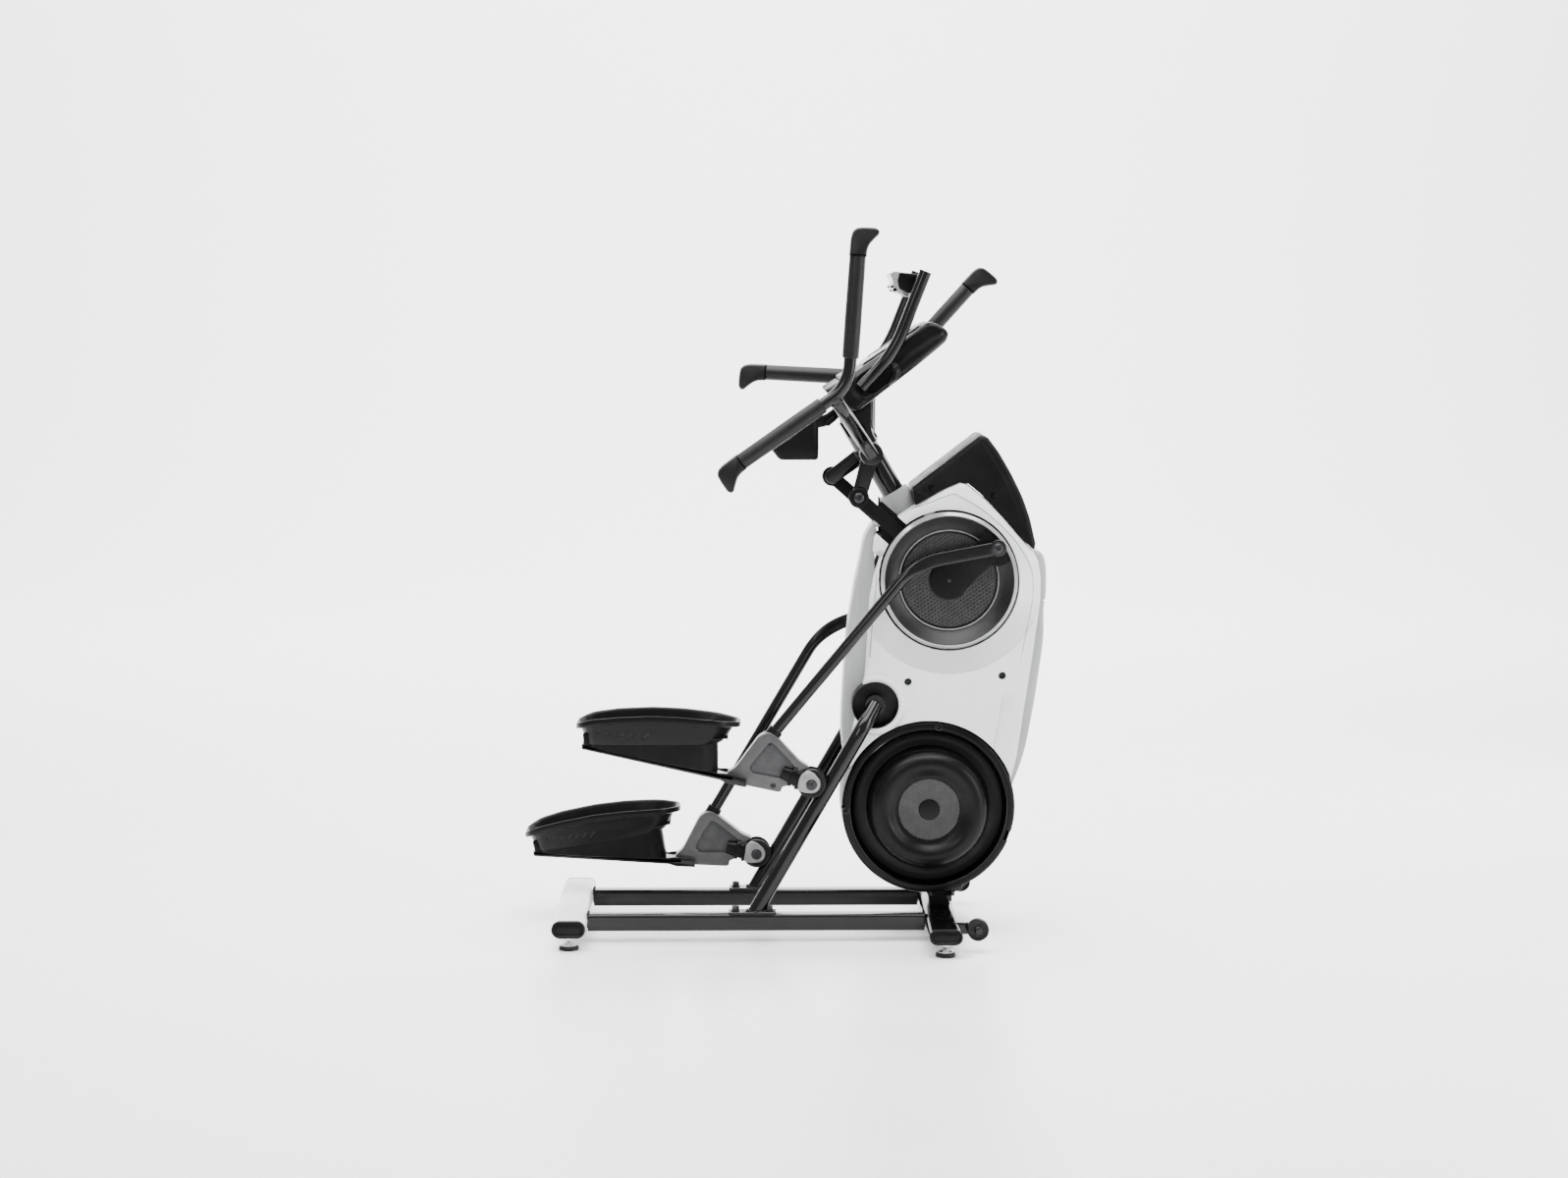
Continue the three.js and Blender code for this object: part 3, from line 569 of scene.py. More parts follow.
def panel(outline, holes, lines, height, side, skirt, step=9.0, rounding=(), wall=2.6):
    """A sculpted face over an outline, with holes, and its walls back to the skirt.

    height(points) gives |Y| over points in XZ. Points crowd along the lines and in the
    rounding distances from the outline, so that creases and rounded edges are crisp.
    """
    loops = [dense(outline, step * 0.6)] + [dense(hole, step * 0.5) for hole in holes]
    verts, edges = [], []
    for loop in loops:
        first = len(verts)
        verts += loop
        edges += [(first + i, first + (i + 1) % len(loop)) for i in range(len(loop))]
    for line in lines:
        first = len(verts)
        trace = dense(line, step * 0.5, closed=False)
        verts += trace
        edges += [(first + i, first + i + 1) for i in range(len(trace) - 1)]
    for gap in rounding:
        verts += inset(loops[0], gap)
    low, high = np.min(outline, axis=0), np.max(outline, axis=0)
    columns = np.arange(low[0] + step / 2, high[0], step)
    rows = np.arange(low[1] + step / 2, high[1], step)
    grid = np.array([(x + (step / 2) * (k % 2), z) for k, z in enumerate(rows) for x in columns])
    clear = distance_to(outline, grid) > max(rounding, default=0) + step * 0.3
    verts += [tuple(p) for p in grid[clear & inside(outline, grid)]]
    points, _, faces = delaunay_2d_cdt([Vector(v) for v in verts], edges, [], 0, 1e-3)[:3]
    flat = np.array(points, float)
    middles = np.array([flat[list(face)].mean(axis=0) for face in faces])
    kept = inside(outline, middles)
    for hole in holes:
        kept &= ~inside(hole, middles)
    tops = height(flat)
    form = bmesh.new()
    made = [form.verts.new((x, side * y, z)) for (x, z), y in zip(flat, tops)]
    for face, keep in zip(faces, kept):
        if keep:
            form.faces.new([made[i] for i in face])
    rims = [e for e in form.edges if len(e.link_faces) == 1]
    walls = bmesh.ops.extrude_edge_only(form, edges=rims)["geom"]
    for vert in (g for g in walls if isinstance(g, bmesh.types.BMVert)):
        vert.co.y = side * skirt
    bmesh.ops.delete(form, geom=[v for v in form.verts if not v.link_faces], context="VERTS")
    bmesh.ops.recalc_face_normals(form, faces=form.faces)
    faces_out = sum(f.normal.y * side * f.calc_area() for f in form.faces)
    if faces_out < 0:
        bmesh.ops.reverse_faces(form, faces=form.faces)
    return thicken(form, wall) if wall else form


def mirrored(form):
    """A half form and its mirror image across the middle plane, joined there."""
    twin = form.copy()
    bmesh.ops.scale(twin, vec=(1, -1, 1), verts=twin.verts)
    bmesh.ops.reverse_faces(twin, faces=twin.faces)
    whole = merge(form, twin)
    bmesh.ops.remove_doubles(whole, verts=whole.verts, dist=0.05)
    return whole


def honeycomb(centre, side, inner, outer, pitch, web, depth, height):
    """A plate of hexagonal pits between two radii; height(radius) gives |Y|."""
    form = bmesh.new()
    corners = {}

    def corner(x, z):
        key = (round(x, 2), round(z, 2))
        if key not in corners:
            reach = math.hypot(x, z)
            corners[key] = form.verts.new((centre[0] + x, side * height(reach), centre[1] + z))
        return corners[key]

    rows = math.ceil(outer / (pitch * 0.866)) + 1
    for row in range(-rows, rows + 1):
        for column in range(-rows, rows + 1):
            x = (column + 0.5 * (row % 2)) * pitch
            z = row * pitch * 0.866
            reach = math.hypot(x, z)
            if not inner < reach < outer:
                continue
            y = height(reach)
            rim = [polar(60 * k + 30, pitch / math.sqrt(3), (x, z)) for k in range(6)]
            mouth = [polar(60 * k + 30, (pitch - web) / math.sqrt(3), (x, z)) for k in range(6)]
            outside = [corner(*p) for p in rim]
            lip = [form.verts.new((centre[0] + p[0], side * y, centre[1] + p[1])) for p in mouth]
            floor = [form.verts.new((centre[0] + p[0], side * (y - depth), centre[1] + p[1]))
                     for p in mouth]
            for k in range(6):
                n = (k + 1) % 6
                form.faces.new((outside[k], outside[n], lip[n], lip[k]))
                form.faces.new((lip[k], lip[n], floor[n], floor[k]))
            form.faces.new(floor)
    rims = [e for e in form.edges if len(e.link_faces) == 1]
    walls = bmesh.ops.extrude_edge_only(form, edges=rims)["geom"]
    below = [g for g in walls if isinstance(g, bmesh.types.BMVert)]
    for vert in below:
        vert.co.y -= side * (depth + 1.5)
    return form


# ------------------------------------------------------------------ pieces

def piece(name, form, look, body, *stands_for, place=None, sharp=32):
    """A form in layout millimetres becomes a piece that rides on a body."""
    to_row = Matrix.Scale(MM, 4) @ Matrix.Translation((SHIFT, 0, 0)) @ (place or Matrix())
    form.transform(to_row)
    form.normal_update()
    limit = math.radians(sharp)
    for edge in form.edges:
        if len(edge.link_faces) == 2:
            edge.smooth = edge.calc_face_angle(0) < limit
    for face in form.faces:
        face.smooth = True
    mesh = bpy.data.meshes.new(name)
    form.to_mesh(mesh)
    form.free()
    obj = bpy.data.objects.new(name, mesh)
    bpy.context.scene.collection.objects.link(obj)
    mesh.materials.append(LOOKS[look])
    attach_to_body(obj, body)
    if stands_for:
        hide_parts(*stands_for)
    return obj


def repaint(node_name, look):
    """One of the design's own nodes, kept as it is, in one of the looks."""
    materials = frame["nodes"][node_name].data.materials
    materials.clear()
    materials.append(LOOKS[look])


def hex_head(at, axis, size, height, socket=True):
    """A bolt head standing on a point along an axis, with a washer."""
    at, axis = Vector(at), Vector(axis).normalized()
    washer = sweep([at, at + axis * 1.6], size * 0.78, 24)
    head = sweep([at + axis * 1.6, at + axis * (height - 1), at + axis * height],
                 [(size * 0.58, size * 0.58)] * 2 + [(size * 0.5, size * 0.5)], 6)
    if not socket:
        return merge(washer, head)
    drive = sweep([at + axis * (height - 2.4), at + axis * (height + 0.5)], size * 0.26, 6)
    return merge(washer, carve(head, drive))


def button_head(centre, radius, side, y, depth=4.0):
    """A domed screw head facing outwards at |Y| = y, with a hexagon socket."""
    profile = [(0, y - 1), (radius, y - 1), (radius, y + depth * 0.3), (radius * 0.8, y + depth * 0.8),
               (radius * 0.5, y + depth), (radius * 0.42, y + depth), (radius * 0.38, y + depth * 0.3),
               (0, y + depth * 0.2)]
    return turned(profile, centre, side, 24)


# ------------------------------------------------------------------ base

REAR_BAR = {"x": -494.0, "z": 50.0, "width": 78.0, "height": 40.0, "half": 250.0, "end": 262.0}
FRONT_BAR = {"x": 365.0, "z": 49.0, "width": 76.0, "height": 36.0, "half": 338.0, "end": 350.0}
RAIL = {"bottom": 26.0, "top": 65.0, "half": 21.0}


def oval(bar, shrink=0.0):
    reach = (bar["width"] - bar["height"]) / 2
    round_end = bar["height"] / 2 - shrink
    return bar_outline((bar["x"] - reach, bar["z"]), (bar["x"] + reach, bar["z"]),
                       round_end, round_end)


def end_cap(bar, side):
    """An oval plug with a raised rim round a sunk oval face."""
    stops = [(0, bar["half"] + 0.3), (0, bar["end"] - 3), (1, bar["end"] - 1), (3, bar["end"]),
             (5.5, bar["end"]), (7, bar["end"] - 2.5), (9, bar["end"] - 3), (10.5, bar["end"] - 1.5),
             (13, bar["end"] - 1.2)]
    return loft([[(x, side * y, z) for x, z in oval(bar, shrink)] for shrink, y in stops])


def levelling_foot(bar, y):
    top = bar["z"] - bar["height"] / 2
    at = Vector((bar["x"], y, 0))

    def stack(profile, segments=40):
        rings = [[at + Vector((r * math.cos(a), r * math.sin(a), z))
                  for a in (2 * math.pi * k / segments for k in range(segments))] for r, z in profile]
        return loft(rings)

    pad = stack([(19, 0), (23, 0.6), (23.3, 4), (22.8, 7), (21, 9.5), (19, 10.5), (11, 12.5), (9, 13)])
    cup = stack([(18.5, 10.8), (18.5, 12), (14, 13.6), (9, 14.6), (8.5, 16)])
    thread = [(6.0 - 0.7 * (k % 2), 13 + 1.1 * k) for k in range(int((top - 13) / 1.1) + 1)]
    stem = stack(thread, 24)
    nut = sweep([at + Vector((0, 0, top - 6.5)), at + Vector((0, 0, top - 0.5))], 10.5, 6)
    return pad, merge(cup, stem, nut)


def weld_bead(points, radius=3.0):
    """A rippled bead along a line."""
    line = [Vector(p) for p in dense([tuple(p) for p in points], 1.2, closed=False)]
    sizes = [(radius * (1 + 0.16 * math.sin(2.2 * i)),) * 2 for i in range(len(line))]
    return sweep(line, sizes, 10, dome=1.0)


def build_base():
    bar = REAR_BAR
    rear = plate(oval(bar), 1, -bar["half"], bar["half"], 0.6)
    piece("rear_tube", rear, "silver_paint", "frame", "rear_stabiliser")
    bar = FRONT_BAR
    front = plate(oval(bar), 1, -bar["half"], bar["half"], 0.6)
    tabs = []
    for side in SIDES.values():
        tab = bar_outline((bar["x"] + 10, WHEEL[1] - 2), WHEEL, 15, 12)
        tabs.append(plate(tab, side, 262, 268, 1.0))
        tabs.append(disc(WHEEL, 6, side, 262, 298, 1))
        tabs.append(button_head(WHEEL, 9, side, 297))
    piece("front_tube", merge(front, *tabs), "black_paint", "frame", "front_stabiliser")
    for name, side in SIDES.items():
        for end, bar, y in (("rear", REAR_BAR, 235), ("front", FRONT_BAR, 318)):
            piece(f"{end}_plug_{name}", end_cap(bar, side), "black_plastic", "frame",
                  f"{end}_end_cap_{name}", sharp=50)
            pad, metal = levelling_foot(bar, side * y)
            piece(f"{end}_foot_pad_{name}", pad, "rubber", "frame", f"{end}_levelling_foot_{name}")
            piece(f"{end}_foot_stem_{name}", metal, "bright_steel", "frame")
        build_base_rail(name, side)
        build_transport_wheel(name, side)


def build_base_rail(name, side):
    x0 = REAR_BAR["x"] + REAR_BAR["width"] / 2 + 0.5
    x1 = FRONT_BAR["x"] - FRONT_BAR["width"] / 2 - 0.5
    low, high, half = RAIL["bottom"], RAIL["top"], RAIL["half"]
    section = rounded([(-half, low), (half, low), (half, high), (-half, high)], 7)
    y = side * TRACK
    rail = loft([[(x, y + a, z) for a, z in section] for x in (x0, x1)])
    mid = (low + high) / 2 + 4
    beads = [weld_bead([(x, y - half + 4, high + 0.3), (x, y + half - 4, high + 0.3)])
             for x in (x0 + 0.5, x1 - 0.5)]
    sides = [weld_bead([(x, y + way * (half + 0.2), mid - 14), (x, y + way * (half + 0.2), high - 6)], 2.4)
             for x in (x0 + 0.5, x1 - 0.5) for way in (-1, 1)]
    piece(f"rail_tube_{name}", merge(rail, *beads, *sides), "black_paint", "frame", f"base_rail_{name}")


def build_transport_wheel(name, side):
    tyre = [(20, 271), (22.5, 270.4), (24.4, 271.6), (25, 274), (25, 292), (24.4, 294.4),
            (22.5, 295.6), (20, 295), (20, 271)]
    hub = [(6.4, 270.5), (9.5, 270.5), (10, 274.5), (18, 274.5), (19, 271), (20.4, 271), (20.4, 295),
           (19, 295), (18, 291.5), (10, 291.5), (9.5, 296), (6.4, 296), (6.4, 270.5)]
    spokes = []
    for k in range(6):
        a, b = polar(60 * k, 8, WHEEL), polar(60 * k, 19.5, WHEEL)
        spokes.append(plate(bar_outline(a, b, 1.7, 1.4, 4), side, 291, 294.5, 0.6))
    wheel = merge(turned(tyre, WHEEL, side), turned(hub, WHEEL, side), *spokes)
    piece(f"wheel_{name}", wheel, "rubber", f"caster_{name}", f"transport_wheel_{name}")


# ------------------------------------------------------------------ main frame, mast, rails

MAST_FOOT = (288.0, 983.4)
MAST_LEAN = 30.0
MAST_LENGTH = 268.0


def mast_point(along, across=0.0):
    lean = math.radians(MAST_LEAN)
    return (MAST_FOOT[0] - along * math.sin(lean) + across * math.cos(lean),
            MAST_FOOT[1] + along * math.cos(lean) + across * math.sin(lean))


def flat(point, y=0.0):
    return (point[0], y, point[1])


def build_main_frame():
    """The design's own frame stays; its front post and sole get finer pieces over them."""
    repaint("main_frame", "black_paint")
    post = rounded([(344.5, -25.5), (399.5, -25.5), (399.5, 25.5), (344.5, 25.5)], 8)
    column = prism(post, 66, 92)
    sole = rounded([(340, -62), (404, -62), (404, 62), (340, 62)], 9)
    shoe = prism(sole, 87, 109)
    gusset = [(380, 67), (404, 88), (380, 88)]
    ribs = [plate(gusset, 1, y, y + 4, 0.6) for y in (-21, 17)]
    bolts = [hex_head((x, y, 109), (0, 0, 1), 13, 7) for x in (350, 395) for y in (-34, 34)]
    piece("front_post", merge(column, shoe, *ribs), "black_paint", "frame")
    piece("front_post_bolts", merge(*bolts), "black_zinc", "frame")


def build_mast():
    foot, head = mast_point(-2), mast_point(MAST_LENGTH)
    tube = rod(flat(foot), flat(head), 26.5, 48, dome=0.8)
    housing = [(0, -58), (22, -58), (24, -56.5), (24.4, -50), (24.4, 50), (24, 56.5), (22, 58), (0, 58)]
    shaft = disc(PIVOT, 10, 1, -103, 103, 1)
    piece("mast_tube", merge(tube, turned(housing, PIVOT, 1), shaft), "black_paint", "frame", "mast")

    stem = []
    for along, across in ((180, -26), (164, -26), (196, 26)):
        root = mast_point(along, across * 0.9)
        tip = mast_point(along, across * 1.5)
        stem.append(hex_head(flat(root), Vector(flat(tip)) - Vector(flat(root)), 12, 10, socket=False))
    rings = [disc(PIVOT, 27.5, side, 54, 59.4, 1.5) for side in SIDES.values()]
    piece("mast_bolts", merge(*stem, *rings), "black_zinc", "frame")

    lower, upper = mast_point(185), mast_point(262)
    saddle = []
    for side in SIDES.values():
        outline = rounded([mast_point(170, -20), mast_point(170, 20), (205, 1182), (205, 1262),
                           (150, 1240), (128, 1222)], 5)
        saddle.append(plate(outline, side, 27.5, 32.5, 1.0))
    clamp = rod(flat(lower), flat(upper), 30.5, 40, dome=1.5)
    piece("console_bracket", merge(clamp, *saddle), "black_paint", "frame")

    skirt = [(4, 41), (6, 41.5), (20, 40), (48, 37.5), (58, 36.8), (61, 35.5), (62, 33), (62, 28.4),
             (58, 27.6), (8, 27.6), (4, 30)]
    axis = (Vector(flat(mast_point(1))) - Vector(flat(mast_point(0))))
    side_way = Vector((0, 1, 0))
    front_way = side_way.cross(axis)
    rings = []
    for along, radius in skirt + skirt[:1]:
        centre = Vector(flat(mast_point(along)))
        ring = []
        for k in range(56):
            a = 2 * math.pi * k / 56
            ring.append(centre + side_way * (radius * math.cos(a)) + front_way * (radius * math.sin(a)))
        rings.append(ring)
    collar = loft(rings, caps=(False, False))
    bmesh.ops.remove_doubles(collar, verts=collar.verts, dist=0.01)
    piece("collar_skirt", collar, "darker_silver_plastic", "frame", "mast_collar")


def build_inclined_rails():
    lean = math.radians(30)
    up = (math.sin(lean), math.cos(lean))
    foot = (-61.0, 76.0)
    floor = RAIL["top"] + 0.3

    def on_axis(z):
        return (foot[0] + (z - foot[1]) * up[0] / up[1], z)

    for name, side in SIDES.items():
        y = side * TRACK
        start, knee = on_axis(floor - 4), on_axis(496)
        tube = pipe([flat(start, y), flat(knee, y), flat(HUB, side * 104)], 17.5, 30, 14, 40)
        below = loft([[(x, y + w, z) for x, w in ((-160, -60), (20, -60), (20, 60), (-160, 60))]
                      for z in (floor - 40, floor + 0.2)])
        tube = carve(tube, below)
        outline = rounded([(-128, -21), (-18, -21), (-18, 21), (-128, 21)], 7)
        sole = loft([[(x, y + w, z) for x, w in inset(outline, gap)]
                     for gap, z in ((0.01, floor), (0.01, floor + 4.4), (0.8, floor + 5.2))])
        root = on_axis(floor + 6)
        bead = weld_bead([(root[0] + 21.5 * math.cos(a), y + 19 * math.sin(a), floor + 6)
                          for a in np.linspace(0, 2 * math.pi, 40)], 2.6)
        piece(f"rail_riser_{name}", merge(tube, sole, bead), "black_paint", "frame",
              f"inclined_rail_{name}")
        bolts = [hex_head((x, y, floor + 5), (0, 0, 1), 15, 12) for x in (-112, -34)]
        piece(f"rail_bolts_{name}", merge(*bolts), "black_zinc", "frame")


# ------------------------------------------------------------------ shroud

COVER_LINE = [(303, 1010), (371, 1048), (407, 1064), (425, 1060), (469, 1024), (510, 981),
              (551, 933), (577, 907)]
SHELL_LINE = [(228, 960)] + COVER_LINE + [
    (591, 880), (597, 840), (596, 787), (576, 643), (562, 553), (543, 422), (520, 330), (420, 380),
    (260, 380), (150, 400), (160, 480), (189, 611), (192, 645), (200, 794), (210, 848), (224, 892),
    (207, 899), (210, 940)]
ARCH = [(232, 1000), (300, 1004), (385, 1035), (407, 1031), (451, 1006), (496, 970), (537, 927),
        (568, 877), (578, 838), (576, 788), (566, 728), (540, 600)]
PARTING = [(218, 871), (210, 780), (200, 661)]
CREASE = [(508, 560), (489, 447)]
SCREWS = [(289, 600), (508, 614)]
LINK_LINE = -41.5
BOWL = {"radius": 160.0, "mouth": 149.0, "floor": 115.0, "inner": 98.0, "outer": 128.0}


def spline(points, steps=6):
    """A smooth line through points."""
    at = [Vector(points[0])] + [Vector(p) for p in points] + [Vector(points[-1])]
    line = []
    for i in range(1, len(at) - 2):
        a, b, c, d = at[i - 1:i + 3]
        for k in range(steps):
            t = k / steps
            line.append(tuple(0.5 * ((2 * b) + (c - a) * t + (2 * a - 5 * b + 4 * c - d) * t ** 2
                                     + (3 * b - a - 3 * c + d) * t ** 3)))
    return line + [tuple(points[-1])]


def link_slot(reach):
    far = polar(LINK_LINE + 180, 330, CRANK)
    return bar_outline(CRANK, far, reach, reach, 6)


def shell_height(points):
    """|Y| of the side shell's face over (x, z)."""
    x, z = points[:, 0], points[:, 1]
    result = np.full(len(points), 105.0)
    depth = distance_to(SHELL_LINE, points)
    shoulder = smooth_step(z, 650, 880)
    result -= edge_drop(depth, 9.0) * (1 - shoulder) + edge_drop(depth, 30.0) * 0.62 * shoulder

    arch = spline(ARCH)
    lowered = inside(arch + [(240, 560), (150, 560), (150, 1000)], points)
    near_arch = distance_to(arch, points, closed=False)
    step_in = np.where(lowered, smooth_step(near_arch, 0, 1.4), 0) * smooth_step(z, 600, 760)
    result = np.where(step_in > 0, np.minimum(result, 105 - 3.0 * step_in), result)
    result -= 4.0 * np.clip(1 - near_arch / 1.3, 0, 1) * smooth_step(z, 610, 700)

    away = np.hypot(x - CRANK[0], z - CRANK[1])
    downward = (CRANK[1] - z) / np.maximum(away, 1)
    flare = np.clip((219 - away) / (219 - 163), 0, 1)
    edge = np.where(away < 219, 3.0, 0.0)
    result += (21.5 * flare ** 1.05 - edge) * smooth_step(downward, -0.35, 0.3)

    hub = np.hypot(x - HUB[0], z - HUB[1])
    result += 6.0 * np.sqrt(np.clip(1 - ((hub - 62.5) / 8.5) ** 2, 0, 1))

    result -= 6.0 * np.clip(1 - distance_to(PARTING, points, closed=False) / 1.3, 0, 1)
    (x1, z1), (x0, z0) = CREASE
    span = math.hypot(x1 - x0, z1 - z0)
    ahead = ((x - x0) * (z1 - z0) - (z - z0) * (x1 - x0)) / span
    fade = smooth_step(z, z0 - 30, z0 + 10) * (1 - smooth_step(z, z1 - 40, z1 + 20))
    result -= 8.0 * smooth_step(ahead, -0.9, 0.9) * np.clip(1 - ahead / 46, 0, 1) * fade
    return result


def rim_lines(path, gap):
    """A line and its two neighbours, for a groove or a step."""
    line = spline(path)
    normals = []
    for i in range(len(line)):
        a, b = Vector(line[max(i - 1, 0)]), Vector(line[min(i + 1, len(line) - 1)])
        run = (b - a).normalized()
        normals.append(Vector((-run.y, run.x)))
    return [[tuple(Vector(p) + n * shift) for p, n in zip(line, normals)] for shift in (-gap, 0, gap)]


def build_side_shells():
    body = rounded(SHELL_LINE, 12, 4)
    lines = rim_lines(ARCH, 1.35) + rim_lines(PARTING, 1.3) + rim_lines(CREASE, 0.9)
    lines += [circle(HUB, r, 56) + [polar(0, r, HUB)] for r in (71, 69, 66, 62.5, 58)]
    lines += [arc(CRANK, r, 170, 370, 90) for r in (218, 219.4)]
    holes = [circle(CRANK, BOWL["radius"] + 3, 120), circle(HUB, 55, 60),
             circle(FAN, 204.5, 140), link_slot(31)]
    holes += [circle(at, 9, 24) for at in SCREWS]
    slot_floor = rounded(link_slot(33), 1, 1)
    for name, side in SIDES.items():
        shell = panel(body, holes, lines, shell_height, side, 62,
                      rounding=(0.6, 1.8, 3.4, 5.5, 9, 14, 21, 29))
        piece(f"shroud_panel_{name}", shell, "silver_plastic", "frame", f"side_shell_{name}", sharp=28)

        pocket = plate(circle(CRANK, BOWL["radius"] + 4, 96), side, 76, 79, 0.5)
        behind = plate([(100, 700), (226, 700), (226, 1200), (100, 1200)], side, 60, 120, 0.1)
        slot = carve(plate(slot_floor, side, 76.2, 79.2, 0.4), behind)
        bore = plate(circle(CRANK, 18), side, 60, 120, 0.1)
        piece(f"shroud_pocket_{name}", merge(carve(pocket, bore), slot), "black_plastic", "frame")

        screws = [button_head(at, 6.2, side, 92, 3) for at in SCREWS]
        wells = [turned([(8.9, 88), (8.9, 104), (10.4, 105.4), (11.4, 105), (9.6, 103.6), (9.6, 88),
                         (8.9, 88)], at, side, 32) for at in SCREWS]
        cups = [disc(at, 9.2, side, 87, 91, 0.5) for at in SCREWS]
        piece(f"shroud_screws_{name}", merge(*screws, *cups), "black_zinc", "frame")
        piece(f"screw_wells_{name}", merge(*wells), "silver_plastic", "frame")

        lining = turned([(54.8, 62.5), (54.8, 104), (54, 106), (52.5, 106), (51.8, 104), (51.5, 66),
                         (0, 66), (0, 62.5), (54.8, 62.5)], HUB, side, 72)
        piece(f"hub_lining_{name}", lining, "rubber", "frame")
        block = rounded([mast_point(-24, 34), mast_point(-2, 34), mast_point(2, 60),
                         mast_point(-22, 62)], 4)
        piece(f"collar_block_{name}", plate(block, side, 60, 99, 3), "darker_silver_plastic", "frame")


def channel(silhouette, mouth, edge, wall=3.0):
    """A cover rounded along its silhouette and open at its mouth."""
    solid = plate(spline(silhouette, 5) + mouth, 1, -61.5, 61.5, edge, 6)
    open_x = mouth[0][0]
    way = math.copysign(1, open_x - silhouette[0][0])
    gone = [f for f in solid.faces if all((v.co.x - open_x) * way > -edge - 1 for v in f.verts)]
    bmesh.ops.delete(solid, geom=gone, context="FACES")
    return thicken(solid, wall)


def build_centre_covers():
    rear = channel(
        [(208, 965), (190, 933), (179, 881), (165, 815), (153, 739), (145, 663), (138, 557),
         (136, 474), (146, 400), (165, 350)], [(232, 350), (232, 965)], 20)
    front = channel(
        [(585, 903), (603, 895), (612, 870), (613.5, 835), (613, 800), (608.5, 767), (608, 696),
         (597, 608), (583, 518), (563, 421), (530, 330)], [(500, 330), (540, 903)], 12)
    notches = []
    for x, z, turn in ((612, 784.5, 0), (566, 414.7, 12)):
        notches.append(plate([polar(a + turn, r, (x, z)) for a, r in (
            (90, 3), (0, 14), (-90, 3), (180, 14))], 1, -70, 70, 0.1))
    # The spines' darker colour is painted shade on their side faces.
    piece("rear_spine", rear, "darker_silver_plastic", "frame", "rear_centre_cover")
    piece("front_spine", carve(front, *notches), "darker_silver_plastic", "frame", "front_centre_cover")


CROWN = [(298, 1052), (449, 1168), (457, 1172), (466, 1170), (473, 1166), (498, 1133), (526, 1085),
         (553, 1031), (571, 981), (585, 921), (583, 909)]


def build_top_cover():
    seam = [(x + 0.8, z + 1) for x, z in reversed(COVER_LINE)]
    outline = CROWN + seam
    smooth = rounded(outline, [6, 10, 4, 4, 10, 25, 25, 25, 25, 5, 2] + [4] * len(seam), 3)
    brow_path = [(304, 1046), (446, 1156), (459, 1159), (467, 1151), (487, 1117), (513, 1071), (538, 1020),
                 (557, 970), (571, 916)]
    brow = spline(brow_path)

    def height(points):
        depth = distance_to(CROWN, points, closed=False)
        result = 99.0 - edge_drop(depth, 13.0)
        inner = inside(brow + [(407, 1000)], points)
        near = distance_to(brow, points, closed=False)
        return result - np.where(inner, 3.0 * smooth_step(near, 0, 5), 0)

    half = panel(smooth, [], rim_lines(brow_path, 5), height, 1, 0, step=8,
                 rounding=(0.8, 2.4, 4.6, 7.6, 12.8), wall=0)
    cover = thicken(mirrored(half), 2.6)
    piece("crown_cover", cover, "charcoal_plastic", "frame", "top_cover", sharp=30)
    for name, side in SIDES.items():
        clips = []
        for x, z in ((342, 1050), (485, 1033)):
            frame_line = rounded([(x - 6, z - 9), (x + 6, z - 9), (x + 6, z + 9), (x - 6, z + 9)], 2)
            face = float(height(np.array([(x, z)]))[0])
            clips.append(plate(frame_line, side, face - 3, face + 0.5, 0.4))
            clips.append(plate(inset(frame_line, 3), side, face - 2, face + 1.4, 0.4))
        piece(f"cover_clips_{name}", merge(*clips), "black_plastic", "frame")


# ------------------------------------------------------------------ crank bowls and discs

def build_bowls():
    inner, outer = BOWL["inner"], BOWL["outer"]
    radius, mouth, floor = BOWL["radius"], BOWL["mouth"], BOWL["floor"]
    cone = [(floor, inner + 1.6), (floor + 1.5, inner + 3.4), (floor + 4, inner + 4.2)]
    cone += [(floor + 4 + (mouth - floor - 5) * t, inner + 4.2 + (outer - inner - 6.4) * t ** 1.25)
             for t in (0.15, 0.3, 0.45, 0.6, 0.75, 0.9, 1.0)]
    back = [(mouth + 0.5, outer - 2.4), (mouth + 2, outer - 5), (mouth - 2, outer - 8),
            (floor + 6, inner), (floor, inner), (floor, inner + 1.6)]
    trim = [(radius - 2.5, inner), (radius - 1.5, inner + 1), (radius - 1.5, outer - 8),
            (radius - 2.5, outer - 6.5), (mouth + 3.6, outer - 1.8), (mouth + 2.6, outer - 0.2),
            (mouth + 1.4, outer), (mouth + 0.5, outer - 1.2), (mouth + 2.5, outer - 8),
            (radius - 5, outer - 12), (radius - 5, inner), (radius - 2.5, inner)]
    for name, side in SIDES.items():
        piece(f"bowl_{name}", turned(cone + back, CRANK, side, 120), "speckled_plastic", "frame",
              f"crank_bowl_{name}")
        piece(f"bowl_trim_{name}", turned(trim, CRANK, side, 120), "satin_ring", "frame")
        # The bead's pale colour is a painted highlight along the bowl's inner edge.
        bead = turned([(floor - 1.6, inner + 5), (floor - 0.4, inner + 6.2), (floor + 1, inner + 6.2),
                       (floor + 2.2, inner + 4.6), (floor + 1, inner + 2), (floor - 1.6, inner + 5)],
                      CRANK, side, 120)
        piece(f"bowl_bead_highlight_{name}", bead, "pale_cast_and_painted_highlight", "frame")


def crank_place(side):
    turn = PHASE + (180 if side > 0 else 0)
    return (Matrix.Translation((CRANK[0], 0, CRANK[1]))
            @ Matrix.Rotation(-math.radians(turn), 4, "Y"))


